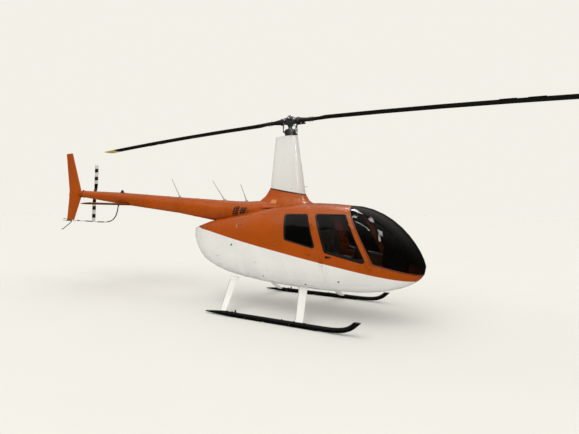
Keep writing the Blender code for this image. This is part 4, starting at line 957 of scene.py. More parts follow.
# Engine tunnel: inlets and the light bar across the first in the frame's x and z, hatches from the mast
INLETS = (
    ((-0.205, 1.784), (-0.074, 1.790), (-0.139, 1.616), (-0.267, 1.604)),
    ((-0.042, 1.772), (0.098, 1.764), (0.040, 1.642), (-0.092, 1.634)),
    ((0.104, 1.728), (0.140, 1.723), (0.125, 1.667), (0.084, 1.662)),
)
INLET_BAR = ((-0.212, 1.600), (-0.148, 1.792))
TUNNEL_HATCHES = {
    # The patch hatch is painted pale orange as a painted highlight on the pylon foot
    "patch": ((-0.295, 1.905), (-0.175, 1.900), (-0.175, 1.832), (-0.295, 1.837)),
    "orange": ((0.080, 1.915), (0.240, 1.905), (0.240, 1.860), (0.080, 1.865)),
}
COWL_LINE = ((-0.703, 1.495), (-0.215, 1.589), (0.356, 1.627), (0.911, 1.657))
CREASE_X = (-0.95, 0.40)
CREASE_STEPS = 45
CREASE_RADIUS = 0.011

# Aft cowl: fasteners on a ring round a middle, and louvres across the belly from x backwards
COWL_RING = (-0.635, 0, 1.07)
COWL_STUDS = 26
STUD_PROFILE = ((-0.003, 0.007), (0.001, 0.007), (0.002, 0.005))
LOUVRES = 7
LOUVRE_START, LOUVRE_PITCH = -1.05, 0.045
LOUVRE_ROW = (-0.16, -0.12, -0.06, 0.0, 0.06, 0.12, 0.16)

# Tail: boom rows of x, centre z, radius; joints; aerials as foot x, z and tip x, z
BOOM = ((-1.500, 1.702, 0.220), (-2.600, 1.831, 0.172), (-4.420, 2.010, 0.140), (-5.812, 2.146, 0.085))
BOOM_JOINTS = (-2.15, -2.95, -3.60, -4.30, -5.05, -5.70)
AERIALS = (
    (-2.606, 2.003, -2.848, 2.412),
    (-1.440, 1.918, -1.746, 2.330),
    (-0.928, 1.886, -1.066, 2.227),
)
HOOP_PROFILE = ((-0.022, -0.003), (-0.022, 0.0012), (0.022, 0.0012), (0.022, -0.003))
AERIAL_FOOT = ((-0.012, 0.028), (0.004, 0.028), (0.012, 0.018), (0.022, 0.010))

# Beacon: x, top and radius; angles along the dome; the collar as height and share of the radius
BEACON = (-4.409, 2.212, 0.035)
BEACON_ARC = (-1.1, -0.8, -0.5, -0.2, 0.1, 0.4, 0.7, 1.0, 1.25, 1.48)
BEACON_COLLAR = ((-0.012, 1.5), (0.003, 1.5), (0.009, 1.15))

# Tail gearbox: flanges as x, growth over the boom's end and length; fittings as place (z from the boom's
# end), axis, turned profile and sides
GEARBOX_FLANGES = ((-5.796, 0.004, 0.016), (-5.824, 0.010, 0.012), (-5.955, 0.006, 0.012))
FLANGE_HOLE = 0.05
GEARBOX_FITTINGS = (
    ((-5.90, -0.070, 0.010), (0, -1, 0), ((0, 0.020), (0.010, 0.020), (0.014, 0.014)), 18),
    ((-5.88, 0.0, 0.070), (0, 0, 1), ((0, 0.012), (0.022, 0.012), (0.026, 0.017), (0.040, 0.015)), 16),
    ((-5.93, -0.02, -0.076), (0, 0, -1), ((-0.01, 0.016), (0.012, 0.016), (0.020, 0.009)), 12),
)
GEARBOX_PIPE = ((-5.80, -0.05, -0.075), (-5.85, -0.075, -0.05), (-5.93, -0.07, -0.035))

# Guard, fin and stabilizer: places from the mast, and turned profiles
GUARD_TOP = ((-4.524, 1.868), (-4.572, 1.680))
GUARD_BOLTS_X = (-6.44, -6.36, -6.28, -6.20)
GUARD_CLAMP = ((0.0, 0.026), (0.010, 0.026), (0.014, 0.018), (0.045, 0.018), (0.050, 0.0145))
WHISKERS = ((1.500, -6.490), (1.449, -6.500))
WHISKER_BULB = ((-0.02, 0.004), (-0.012, 0.012), (0.012, 0.012), (0.02, 0.004))
TAIL_LIGHT = (-6.455, 0, 2.150)
TAIL_LIGHT_DOME = ((-0.012, 0.016), (0.004, 0.016), (0.014, 0.012), (0.019, 0.004))
ROOT_SCREWS_X = (-4.44, -4.36, -4.28, -4.20, -4.12)

# Stabilizer: middle x, level, chord and thickness; its capped ends as y and growth; half of its section,
# which the tail rotor's cuffs share, given in shares of chord and thickness
STABILIZER = (-4.27, 1.860, 0.44, 0.046)
STABILIZER_ENDS = ((1.06, 1.005), (1.085, 1.03), (1.101, 1.0))
HALF_SECTION = ((0.0, 0.08), (0.35, 0.42), (0.70, 0.50), (0.92, 0.35), (1.0, 0.12))
WING_SECTION = (*HALF_SECTION, *((x, -z) for x, z in reversed(HALF_SECTION)))

# Tail rotor: cuffs as reach, chord and thickness; turned profiles; root bolts as reach and size
TAIL_CUFF = ((0.070, 0.100, 0.034), (0.150, 0.118, 0.032), (0.235, 0.138, 0.024), (0.255, 0.138, 0.020))
TAIL_SLIDER = ((0, 0.030), (0.006, 0.036), (0.030, 0.036), (0.036, 0.028))
TAIL_NUT = ((-0.01, 0.030), (0.004, 0.030), (0.012, 0.020))
TAIL_ROD_END = ((0, 0.007), (0.004, 0.012), (0.012, 0.012), (0.016, 0.007))
TAIL_ROOT_BOLTS = ((0.080, 0.009), (0.135, 0.006), (0.165, 0.006))

# Rotor head: hub sections as x, half width, lowest z, highest z; turned profiles from their foot
HEAD_Z = 3.368
HINGE_Z = 3.372
HUB_SECTIONS = (
    (-0.134, 0.040, 3.325, 3.418),
    (-0.110, 0.054, 3.312, 3.432),
    (-0.060, 0.062, 3.302, 3.440),
    (-0.030, 0.066, 3.292, 3.448),
    (0.030, 0.066, 3.292, 3.448),
    (0.060, 0.062, 3.302, 3.440),
    (0.110, 0.054, 3.312, 3.432),
    (0.134, 0.040, 3.325, 3.418),
)
SHAFT_FOOT_Z = 1.6205
SHAFT_PROFILE = ((0, 0.034), (0.001, 0.036), (1.640, 0.036), (1.648, 0.046), (1.676, 0.050), (1.700, 0.058))
SHAFT_COLLAR = ((-0.010, 0.037), (-0.010, 0.050), (0.006, 0.052), (0.010, 0.037))
HUB_CAP_Z = 3.43
HUB_CAP = ((0, 0.060), (0.012, 0.058), (0.030, 0.046), (0.042, 0.030), (0.050, 0.012))
CONING_X = 0.098
CONING_BOSS = ((-0.074, 0.034), (-0.064, 0.040), (0.064, 0.040), (0.074, 0.034))

# Hinge bolts as x, radius, half length and rise; their washer, head and end in shares of the radius, sides
HINGE_BOLTS = ((0.0, 0.024, 0.078, 0.030), (CONING_X, 0.020, 0.074, 0.0), (-CONING_X, 0.020, 0.074, 0.0))
HINGE_BOLT_PROFILES = (
    (((-0.01, 1.25), (0.004, 1.25), (0.005, 1.1)), 24),
    (((0, 1.0), (0.013, 1.0), (0.015, 0.85)), 6),
    (((0, 0.5), (0.019, 0.5), (0.021, 0.4)), 12),
)
ROD_END = ((0, 0.009), (0.004, 0.016), (0.016, 0.016), (0.020, 0.009))
SCISSORS = ((0.045, 0, 3.290), (0.118, 0, 3.255), (0.088, 0, 3.180))
SWASH_FOOT_Z = 3.1204
SWASH_PROFILE = (
    (0.000, 0.037),
    (0.000, 0.104),
    (0.006, 0.107),
    (0.030, 0.107),
    (0.034, 0.101),
    (0.044, 0.101),
    (0.048, 0.106),
    (0.074, 0.104),
    (0.082, 0.096),
    (0.086, 0.070),
    (0.094, 0.056),
    (0.106, 0.048),
    (0.106, 0.037),
)

# Main blades: doublers as reach from and to, half width and thickness; boot's profile; trim tabs
DOUBLERS = ((0.74, 1.10, 0.055, 0.0016), (0.76, 0.94, 0.040, 0.0030))
DOUBLER_Y = -0.030
BLADE_BOOT = (
    (0.138, 0.062), (0.146, 0.068), (0.154, 0.062), (0.162, 0.067),
    (0.170, 0.060), (0.178, 0.064), (0.190, 0.056),
)
TAB_REACHES = (3.30, 3.62)
TAB_EDGES = (-0.178, -0.208)

# Landing gear: skid line as x, z and radius, the level of its front cut, and the legs' top and foot x
TREAD = 2.261
SKID_CENTRE_Z = 0.041
SKID_CUT_Z = 0.192
SKID_LINE = (
    (-1.070, 0.029, 0.008),
    (-1.000, 0.032, 0.015),
    (-0.900, 0.035, 0.023),
    (-0.780, 0.0385, 0.031),
    (-0.680, 0.041, 0.035),
    (0.860, 0.041, 0.035),
    (0.980, 0.0415, 0.035),
    (1.080, 0.0445, 0.035),
    (1.170, 0.053, 0.035),
    (1.250, 0.070, 0.035),
    (1.315, 0.097, 0.035),
    (1.365, 0.130, 0.035),
    (1.400, 0.163, 0.035),
)
LEGS = {"front": (0.437, 0.600), "rear": (-0.885, -0.725)}
LEG_TOP_Y = 0.48
LEG_TOP_Z = 0.52
LEG_CHORD = (0.150, 0.115)
LEG_SECTION = (
    (-0.6, -0.08), (-0.25, -0.42), (0.1, -0.50), (0.32, -0.35), (0.4, -0.12),
    (0.4, 0.12), (0.32, 0.35), (0.1, 0.50), (-0.25, 0.42), (-0.6, 0.08),
)
LEG_STRIP_SHARES = (0.10, 0.35, 0.65, 0.90)
LEG_STRIP_SECTION = ((-0.004, 0), (0.0, 0.0045), (0.010, 0.0065), (0.010, -0.0065), (0.0, -0.0045))
LEG_CUFF_ROWS = ((0.915, 0.005), (0.935, 0.010), (0.985, 0.010))
SKID_SHOES = ((-0.62, -0.02), (0.04, 0.86))
SHOE_BOLTS_X = (-0.58, -0.30, -0.06, 0.08, 0.45, 0.82)
SKID_LUGS = (
    (-0.49, ((0, 0.016), (0.010, 0.014), (0.034, 0.012), (0.042, 0.008))),
    (-0.55, ((0, 0.015), (0.012, 0.013), (0.018, 0.006))),
    (0.32, ((0, 0.014), (0.010, 0.012), (0.016, 0.006))),
)
SADDLES = {"front": (0.055, -0.115), "rear": (0.055,)}
SADDLE_WIDTH = 0.035
SADDLE_PROFILE = ((0, 0.0355), (0, 0.0395), (1, 0.0395), (1, 0.0355))
EXHAUST = ((-1.200, 0.080, 0.970), (-1.420, 0.300, 0.500))
EXHAUST_LIP = (
    (-0.012, 0.0845), (-0.012, 0.0875), (-0.004, 0.0895), (0.0, 0.0875), (0.0, 0.0815), (-0.012, 0.0812)
)

# Cabin: seats as name, node, rear x, middle y, width share and lean; pads; half the width of a belt
SEATS = (
    ("front_right", "front_seat_right", 0.680, -0.310, 1.0, 0.150),
    ("front_left", "front_seat_left", 0.680, 0.310, 1.0, 0.150),
    ("rear_right", "rear_seat", 0.105, -0.295, 1.24, 0.0),
    ("rear_left", "rear_seat", 0.105, 0.295, 1.24, 0.0),
)
PAD_EDGE = 0.030
PAD_VOXEL = 0.009
PAD_FRAMES = 20
PAD_SWELL = 0.014
BELT_HALF = 0.024

# Console: rows of gauges as height and radius; bezel's profile as level and share of the radius; hood's
# rows as y and share of the lift, and its section as x, z and lift; the bar between the grips as x, z and
# half width; the line of a grip as steps ahead, inwards and down
GAUGE_ROWS = ((0.060, 0.036), (0.142, 0.036), (0.216, 0.026))
GAUGE_STEP = 0.104
BEZEL_PROFILE = ((-0.004, 1.0), (0.007, 1.0), (0.009, 0.92), (0.004, 0.84), (-0.004, 0.84))
KNOB_PROFILE = ((0, 0.010), (0.012, 0.009), (0.014, 0.007))
RADIO_HALF, SCREEN_HALF = (0.085, 0.028), (0.045, 0.014)
HOOD_ROWS = ((-0.185, 0.0), (-0.178, 0.7), (-0.12, 1.0), (0.0, 1.05), (0.12, 1.0), (0.178, 0.7), (0.185, 0.0))
HOOD_SECTION = (
    (1.625, 1.262, 0.000),
    (1.640, 1.264, 0.012),
    (1.700, 1.262, 0.016),
    (1.790, 1.246, 0.010),
    (1.800, 1.240, 0.000),
    (1.660, 1.2605, 0.000),
)
STICK_BAR = (1.240, 1.045, 0.400)
GRIP_LINE = ((0.0, 0.020, 0.0), (0.004, 0.018, 0.05), (0.012, 0.018, 0.125))


def shifted(outline):
    return [(p[0] + MAST_X, p[1]) for p in outline]


def body_skin(side_name):
    kinds = ("front_door", "rear_door", "front_window", "rear_window", "windshield")
    baggage = ("baggage_door",) if side_name == "left" else ()
    sided = [f"{kind}_{side_name}" for kind in kinds]
    return Skin("cabin_shell", *sided, "windshield_bow", "aft_cowl", *baggage)


BODY_SKIN = {name: body_skin(name) for name in SIDES}


def on_hinge(x, z):
    reach_x, reach_z = HINGE_ZONE
    return any(abs(x - MAST_X - hx) < reach_x and abs(z - hz) < reach_z for hx, hz in HINGES)


def lay(side_name, path, parts=1, reach=0.02):
    """Points and normals on the body's skin along a closed side-view path, smooth past the hinges."""
    path = finer(path, parts)
    laid = [BODY_SKIN[side_name].side(p[0], p[1], SIDES[side_name], reach) for p in path]
    bad = [on_hinge(p[0], p[1]) for p in path]
    if not any(bad) or all(bad):
        return laid
    count = len(path)
    mended = list(laid)
    for i in range(count):
        if not bad[i]:
            continue
        before, after = 1, 1
        while bad[(i - before) % count]:
            before += 1
        while bad[(i + after) % count]:
            after += 1
        (start, one), (end, two) = laid[(i - before) % count], laid[(i + after) % count]
        gap = before + after
        rise = (start.y - laid[(i - before - 1) % count][0].y) * gap
        fall = (laid[(i + after + 1) % count][0].y - end.y) * gap
        t = before / gap
        y = (2 * t**3 - 3 * t**2 + 1) * start.y + (t**3 - 2 * t**2 + t) * rise
        y += (3 * t**2 - 2 * t**3) * end.y + (t**3 - t**2) * fall
        mended[i] = Vector((path[i][0], y, path[i][1])), one.lerp(two, t).normalized()
    return mended


def lay_in_gap(side_name, outline, radius, inset, solid_inset, parts):
    """A loop in the gap beside a door, carried over level with the skin from a loop that lies on it."""
    wanted = finer(shifted(rounded(outline, radius, inset)), parts)
    beside = lay(side_name, shifted(rounded(outline, radius, solid_inset)), parts, reach=0.004)
    loop = []
    for goal, (point, normal) in zip(wanted, beside):
        drop = (normal.x * (goal[0] - point.x) + normal.z * (goal[1] - point.z)) / normal.y
        loop.append((Vector((goal[0], point.y - drop, goal[1])), normal))
    return loop


def make_door_trim():
    """Dark borders and lips round the windows, and jambs that narrow the gap round each door."""
    windows = {"front": (FRONT_WINDOW, FRONT_BORDER), "rear": (REAR_WINDOW, REAR_BORDER)}
    doors = {"front": FRONT_DOOR, "rear": REAR_DOOR, "baggage": BAGGAGE_DOOR}
    for side_name in SIDES:
        for place, (window, border) in windows.items():
            body = f"{place}_door_{side_name}"
            parts = even_parts(rounded(border, BORDER_CORNER))
            outer = lay(side_name, shifted(rounded(border, BORDER_CORNER)), parts)
            brink = lay(side_name, shifted(rounded(window, WINDOW_CORNER, -0.003)), parts)
            inner = lay(side_name, shifted(rounded(window, WINDOW_CORNER, 0.005)), parts)
            rows = ((outer, -0.002), (outer, 0.0016), (brink, 0.0016), (inner, 0.0012), (inner, -0.002))
            piece(f"{place}_window_border_{side_name}", Shape().band(*rows), "border", body)
            piece(f"{place}_window_lip_{side_name}", Shape().bead(outer, *LIP), "two_tone", body)
        for place, corners in doors.items():
            if place == "baggage" and side_name == "right":
                continue
            parts = even_parts(rounded(corners, DOOR_CORNER))
            outer, inner = (
                lay_in_gap(side_name, corners, DOOR_CORNER, *insets, parts) for insets in JAMB_INSETS
            )
            low, high = JAMB_LEVELS
            rows = ((outer, low), (outer, high), (inner, high), (inner, low))
            piece(f"{place}_jamb_{side_name}", Shape().band(*rows), "two_tone")


def make_door_inside():
    """Brown panels, pale sills and pulls on the doors' inner faces."""
    for side_name, side in SIDES.items():
        skin = BODY_SKIN[side_name]
        for place, corners in INNER_PANELS.items():
            body = f"{place}_door_{side_name}"
            grid = patch(skin, shifted(corners), side, 14, 8)
            piece(f"{place}_inner_panel_{side_name}", Shape().sheet(grid, *PANEL_LEVELS), "trim", body)
            start, end = shifted(corners[:2])
            above = spots(skin, side, finer((start, end), 10, closed=False))
            rail = [p - n * SILL_DEPTH + Vector((0, 0, SILL_RISE)) for p, n in above]
            sill = Shape().tube(rail, SILL_RADIUS, 14, flat=0.62, lean=(0, 0, 1))
            piece(f"{place}_sill_{side_name}", sill, "sill", body)
            path = finer([(start[0] + x, z) for x, z in PULL_ENDS], len(PULL_DEPTHS) - 1, closed=False)
            grip = [p - n * depth for (p, n), depth in zip(spots(skin, side, path), PULL_DEPTHS)]
            piece(f"{place}_pull_{side_name}", Shape().tube(grip, 0.008, 10), "plastic", body)


def make_door_hardware():
    """Handles outside the doors, and the baggage door's latches."""
    for side_name, side in SIDES.items():
        skin = BODY_SKIN[side_name]
        for place, (x, z, finish) in HANDLES.items():
            handle = Shape().turned(*skin.side(x + MAST_X, z, side), HANDLE_BOSS, 24)
            lever = [(*skin.side(x + MAST_X + step, z, side, 0.004), lift) for step, lift in HANDLE_LEVER]
            handle.tube([p + n * lift for p, n, lift in lever], 0.009, 12, flat=0.5, lean=(0, 0, 1))
            piece(f"{place}_handle_{side_name}", handle, finish, f"{place}_door_{side_name}")
    latches = Shape()
    for x, z in LATCHES:
        point, normal = BODY_SKIN["left"].side(x + MAST_X, z, 1)
        latches.turned(point, normal, LATCH_BOSS, 20)
        latches.block(point - Vector((0.009, 0.003, 0.002)), point + Vector((0.009, 0.005, 0.002)), 0.0008)
    piece("baggage_latches", latches, "steel", "baggage_door")


def make_flank_marks():
    """Filler caps, drains and catches on both flanks."""
    (door_rear, door_front), (door_low, door_top) = ((min(c), max(c)) for c in zip(*BAGGAGE_DOOR))
    for side_name, side in SIDES.items():
        skin = BODY_SKIN[side_name]
        caps, rings, pale = Shape(), Shape(), Shape()
        for x, z, radius, ringed in FLANK_DOTS:
            on_door = door_rear - radius < x < door_front + radius and door_low < z < door_top
            if side_name == "left" and on_door:
                continue
            spot = skin.side(x + MAST_X, z, side)
            caps.turned(*spot, [(level, radius * share) for level, share in CAP_PROFILE], 20)
            if ringed:
                rings.turned(*spot, [(level, radius * share) for level, share in RING_PROFILE], 24)
        for path, radius in PALE_MARKS:
            marks = [p + n * 0.001 for p, n in spots(skin, side, finer(shifted(path), 3, closed=False))]
            pale.tube(marks, radius, 8)
        piece(f"flank_caps_{side_name}", caps, "rubber")
        piece(f"flank_rings_{side_name}", rings, "white")
        piece(f"flank_catches_{side_name}", pale, "aluminium")


def make_windshield_trim():
    """The seal along each windshield half and the screws behind it."""
    for side_name, side in SIDES.items():
        top, corner, nose = WINDSHIELD_EDGE
        back = ((top[0] - 0.010, top[1]), (corner[0] - 0.012, corner[1] - 0.008), (nose[0], nose[1] - 0.010))
        path = finer(shifted(back), 26, closed=False)
        (corner_x, corner_z), (nose_x, nose_z) = shifted(back)[1:]
        laid = []
        for goal in path:
            point, normal = BODY_SKIN[side_name].side(goal.x, goal.y, side, 0.006)
            on_path = (Vector((point.x, point.z)) - goal).length < 0.003
            if on_path and (goal.x < corner_x or abs(point.y) > NOSE_HALF):
                laid.append((point, normal))
        point = laid[-1][0]
        first_y = point.y
        for step in range(1, NOSE_STEPS):
            y = first_y * (1 - step / NOSE_STEPS)
            for _ in range(3):
                z = corner_z + (point.x - corner_x) * (nose_z - corner_z) / (nose_x - corner_x)
                point, normal = BODY_SKIN[side_name].spot((5.0, y, z), (-1, 0, 0), 0.006)
            laid.append((point, normal))
        seal = Shape()
        seal.bead(laid, 0.012, 0.0022, closed=False)
        piece(f"windshield_seal_{side_name}", seal, "rubber")
        screws = Shape()
        for point, normal in laid[2::2]:
            below = Vector((-0.014 * abs(normal.y), 0.0, -0.017 + 0.007 * abs(normal.y)))
            place, out = BODY_SKIN[side_name].spot(point + below + normal * 0.1, -normal)
            screws.rivet(place, out, 0.0035)
        piece(f"windshield_screws_{side_name}", screws, "steel")


def streamline(level, rear, front, wide, slope, grown=0.0):
    """A level cut of the pylon or fairing, as the solids have it."""
    half, centre = (front - rear) / 2 + grown, (front + rear) / 2
    ring = []
    for angle in turns(FAIRING_POINTS):
        c, s = math.cos(angle), math.sin(angle)
        x = centre + half * c
        ring.append(at(x, (wide + grown) * s * (1.0 + 0.22 * c) / 1.02, level + slope * x))
    return ring


def make_fairing_detail():
    """The seam at the fairing's foot, its screws, and the cover on its top."""
    foot, _, top = FAIRING
    ring = streamline(foot[0] - 0.012, *foot[1:], 0.006)
    outward = [(p, Vector((p.x - MAST_X, p.y * 2, 0.0)).normalized()) for p in ring]
    piece("fairing_foot_seam", Shape().bead(outward, 0.030, 0.006, sink=0.012), "seam")
    lid_z, inner = top[0] + 0.010, []
    for angle in turns(FAIRING_POINTS):
        inner.append(at(FAIRING_HOLE * math.cos(angle), FAIRING_HOLE * math.sin(angle), lid_z))
    rows = [[p + Vector((0, 0, rise)) for p in streamline(*top, grown)] for grown, rise in COVER_LEVELS]
    rows[3:3] = [inner, [p - Vector((0, 0, 0.006)) for p in inner]]
    piece("fairing_cover", Shape().skin(rows + [rows[0]], caps=False), "mast_white")
    screws = Shape()
    low, mid, high = (streamline(*level) for level in FAIRING)
    for lower, upper, share in ((low, mid, 0.06 / 0.33), (mid, high, 0.17 / 0.67), (mid, high, 0.625 / 0.67)):
        for i in range(2, FAIRING_POINTS, 4):
            point = lower[i].lerp(upper[i], share)
            screws.rivet(point, Vector((point.x - MAST_X, point.y * 2, 0.0)), 0.0045)
    piece("fairing_screws", screws, "steel")


def crease(upper, lower, side):
    """Where the lower skin comes out from under the upper one, seen from the side."""

    def reach(skin, x, z):
        point = skin.tree.ray_cast(Vector((x, side * 3.0, z)), Vector((0, -side, 0)))[0]
        return abs(point.y) if point else 0.0

    line = []
    for step in range(CREASE_STEPS + 1):
        x = CREASE_X[0] + (CREASE_X[1] - CREASE_X[0]) * step / CREASE_STEPS + MAST_X
        above = 0.0
        for drop in range(100):
            z = 1.95 - 0.004 * drop
            over = reach(upper, x, z)
            if reach(lower, x, z) > over:
                if above:
                    line.append(Vector((x, side * above, z + 0.002)))
                break
            above = over
    return line


def make_tunnel_detail():
    """Cooling inlets, hatches and the cowl's edge on both sides of the engine tunnel."""
    skin = Skin("pylon_cowl")
    for side_name, side in SIDES.items():
        mesh, rims, slats = Shape(), Shape(), Shape()
        for corners in INLETS:
            grid = patch(skin, corners, side, 6, 8)
            mesh.sheet(grid, -0.002, 0.0012)
            outline = spots(skin, side, rounded(corners, 0.008))
            rims.bead(outline, 0.009, 0.005)
            for row in grid[1:-1:2]:
                slats.bead(row, 0.007, 0.006, closed=False)
        start, end = INLET_BAR
        rims.bead(spots(skin, side, finer((start, end), 6, closed=False)), 0.012, 0.008, closed=False)
        piece(f"inlet_mesh_and_painted_shade_{side_name}", mesh, "grille")
        piece(f"inlet_rims_{side_name}", rims, "orange")
        piece(f"inlet_slats_{side_name}", slats, "orange")
        screws = Shape()
        for finish, corners in TUNNEL_HATCHES.items():
            hatch = Shape()
            grid = patch(skin, shifted(corners), side, 8, 6)
            hatch.sheet(grid, -0.002, 0.0022)
            for j, i in ((0, 0), (0, -1), (-1, 0), (-1, -1)):
                place, normal = grid[j][i]
                inward = (grid[3][4][0] - place).normalized() * 0.012
                screws.rivet(place + inward + normal * 0.002, normal, 0.005)
            piece(f"tunnel_hatch_{finish}_{side_name}", hatch, finish)
        fillet = crease(skin, Skin("cabin_shell", "aft_cowl"), side)
        piece(f"tunnel_fillet_{side_name}", Shape().tube(fillet, CREASE_RADIUS, 12), "orange")
        line = finer(COWL_LINE, 14, closed=False)
        body = Skin("cabin_shell", "aft_cowl", "pylon_cowl")
        edge = Shape().bead(spots(body, side, line), 0.012, 0.003, closed=False)
        piece(f"cowl_edge_{side_name}", edge, "orange")
        for p in line[1::2]:
            place, normal = body.side(p[0], p[1] - 0.022, side)
            screws.rivet(place, normal, 0.0045)
        piece(f"tunnel_screws_{side_name}", screws, "steel")


def make_cowl_detail():
    """Quarter-turn fasteners along the aft cowl's front edge and its belly louvres."""
    skin = Skin("aft_cowl", "cabin_shell")
    studs = Shape()
    for step in range(COWL_STUDS):
        angle = math.tau * (step + 0.5) / COWL_STUDS
        ray = Vector((0.0, math.cos(angle), math.sin(angle)))
        studs.turned(*skin.spot(at(*COWL_RING) + ray * 2.0, -ray), STUD_PROFILE, 12)
    piece("cowl_studs", studs, "two_tone")
    louvres = Shape()
    for step in range(LOUVRES):
        x = LOUVRE_START - LOUVRE_PITCH * step + MAST_X
        row = [skin.spot((x, y, -1.0), (0, 0, 1)) for y in LOUVRE_ROW]
        louvres.bead(row, 0.024, 0.009, closed=False)
    piece("belly_louvres", louvres, "two_tone")


def boom_at(x):
    """The boom's centre height and radius at x."""
    for (x0, z0, r0), (x1, z1, r1) in zip(BOOM, BOOM[1:]):
        if x >= x1:
            break
    share = (x - x0) / (x1 - x0)
    return z0 + (z1 - z0) * share, r0 + (r1 - r0) * share


def make_boom_detail():
    """Riveted joints round the boom, faired aerials, and the beacon."""
    hoops, rivets = Shape(), Shape()
    for x in BOOM_JOINTS:
        z, radius = boom_at(x)
        axis = Vector((-1.0, 0.0, (boom_at(x - 0.1)[0] - z) / 0.1)).normalized()
        taper = (boom_at(x - 0.1)[1] - radius) / 0.1
        hoop = [(s, radius + taper * s + lift) for s, lift in HOOP_PROFILE]
        hoops.turned(at(x, 0, z), axis, hoop, 48, hollow=True)
        for row in (-0.012, 0.012):
            for angle in turns(22):
                out = Vector((0.0, math.cos(angle), math.sin(angle)))
                point = at(x, 0, z) + axis * row + out * (radius + taper * row + 0.0012)
                rivets.rivet(point, out, 0.003, 6)
    piece("boom_joints", hoops, "orange")
    piece("boom_rivets", rivets, "orange")
    blades, feet = Shape(), Shape()
    for foot_x, foot_z, tip_x, tip_z in AERIALS:
        foot, tip = at(foot_x, 0, foot_z), at(tip_x, 0, tip_z)
        line = [foot.lerp(tip, s) for s in (0.0, 0.25, 0.6, 1.0)]
        blades.tube(line, [0.014, 0.0105, 0.0085, 0.0068], 12)
        feet.turned(foot, UP, AERIAL_FOOT, 20)
    piece("aerial_blades", blades, "aerial")
    piece("aerial_feet", feet, "aerial")
    x, top, radius = BEACON
    base = sum(boom_at(x))
    middle = top - base - radius
    profile = [(-0.015, radius * 0.45)]
    profile += [(middle + radius * math.sin(a), radius * math.cos(a)) for a in BEACON_ARC]
    piece("beacon_dome", Shape().turned(at(x, 0, base), UP, profile, 28), "lens", stands_for=("beacon",))
    collar = [(level, radius * share) for level, share in BEACON_COLLAR]
    piece("beacon_collar", Shape().turned(at(x, 0, base), UP, collar, 28), "seam")


def make_tail_detail():
    """Flanges, fittings and bolts of the tail gearbox, the fin and the guard."""
    end_x, z = BOOM[-1][:2]
    radius = BOOM[-1][2]
    flanges, bolts, fittings = Shape(), Shape(), Shape()
    for x, grown, length in GEARBOX_FLANGES:
        profile = [(0, FLANGE_HOLE), (0, radius + grown), (length, radius + grown), (length, FLANGE_HOLE)]
        flanges.turned(at(x, 0, z), BACK, profile, 36, hollow=True)
    for angle in turns(8, 0.2):
        out = Vector((0, math.cos(angle), math.sin(angle))) * (radius + 0.0015)
        bolts.bolt(at(end_x - 0.024, 0, z) + out, BACK, 0.0045)
        bolts.bolt(at(-5.967, 0, z) + out * 0.98, BACK, 0.004)
    for (x, y, rise), axis, profile, sides in GEARBOX_FITTINGS:
        fittings.turned(at(x, y, z + rise), axis, profile, sides)
    fittings.tube([at(x, y, z + rise) for x, y, rise in GEARBOX_PIPE], 0.006, 8)
    piece("gearbox_flanges", flanges, "orange")
    piece("gearbox_bolts", bolts, "steel")
    piece("gearbox_fittings", fittings, "seam")
    foot = Shape()
    for x in GUARD_BOLTS_X:
        for side in (-1, 1):
            foot.bolt(at(x, side * 0.0200, 1.456), (0, side, 0), 0.0055)
    piece("guard_shoe_bolts", foot, "steel")
    (x0, z0), (x1, z1) = GUARD_TOP
    clamp = Shape().turned(at(x0, 0, z0), (x1 - x0, 0, z1 - z0), GUARD_CLAMP, 20)
    piece("guard_clamp", clamp, "seam")
    whiskers = Shape()
    for level, start in WHISKERS:
        line = [at(start, 0, level), at(-6.60, 0.004, level + 0.002), at(-6.715, 0.006, level)]
        whiskers.tube(line, [0.006, 0.005, 0.0035], 8)
    whiskers.turned(at(-6.625, 0, WHISKERS[0][0]), BACK, WHISKER_BULB, 12)
    piece("fin_whiskers", whiskers, "seam")
    piece("tail_light", Shape().turned(at(*TAIL_LIGHT), BACK, TAIL_LIGHT_DOME, 16), "lamp")
    tips = Shape()
    middle_x, level, chord, thick = STABILIZER
    for side in (-1, 1):
        rings = []
        for y, share in STABILIZER_ENDS:
            ring = []
            for px, pz in WING_SECTION:
                ring.append(at(middle_x + (px - 0.5) * chord * share, side * y, level + pz * thick * share))
            rings.append(ring)
        tips.skin(rings)
    piece("stabilizer_caps", tips, "stabilizer")
    roots = Shape()
    skin = Skin("tail_boom")
    for side in (-1, 1):
        for x in ROOT_SCREWS_X:
            roots.rivet(*skin.side(x + MAST_X, 1.925, side, 0.01), 0.005)
    piece("stabilizer_root_screws", roots, "steel")


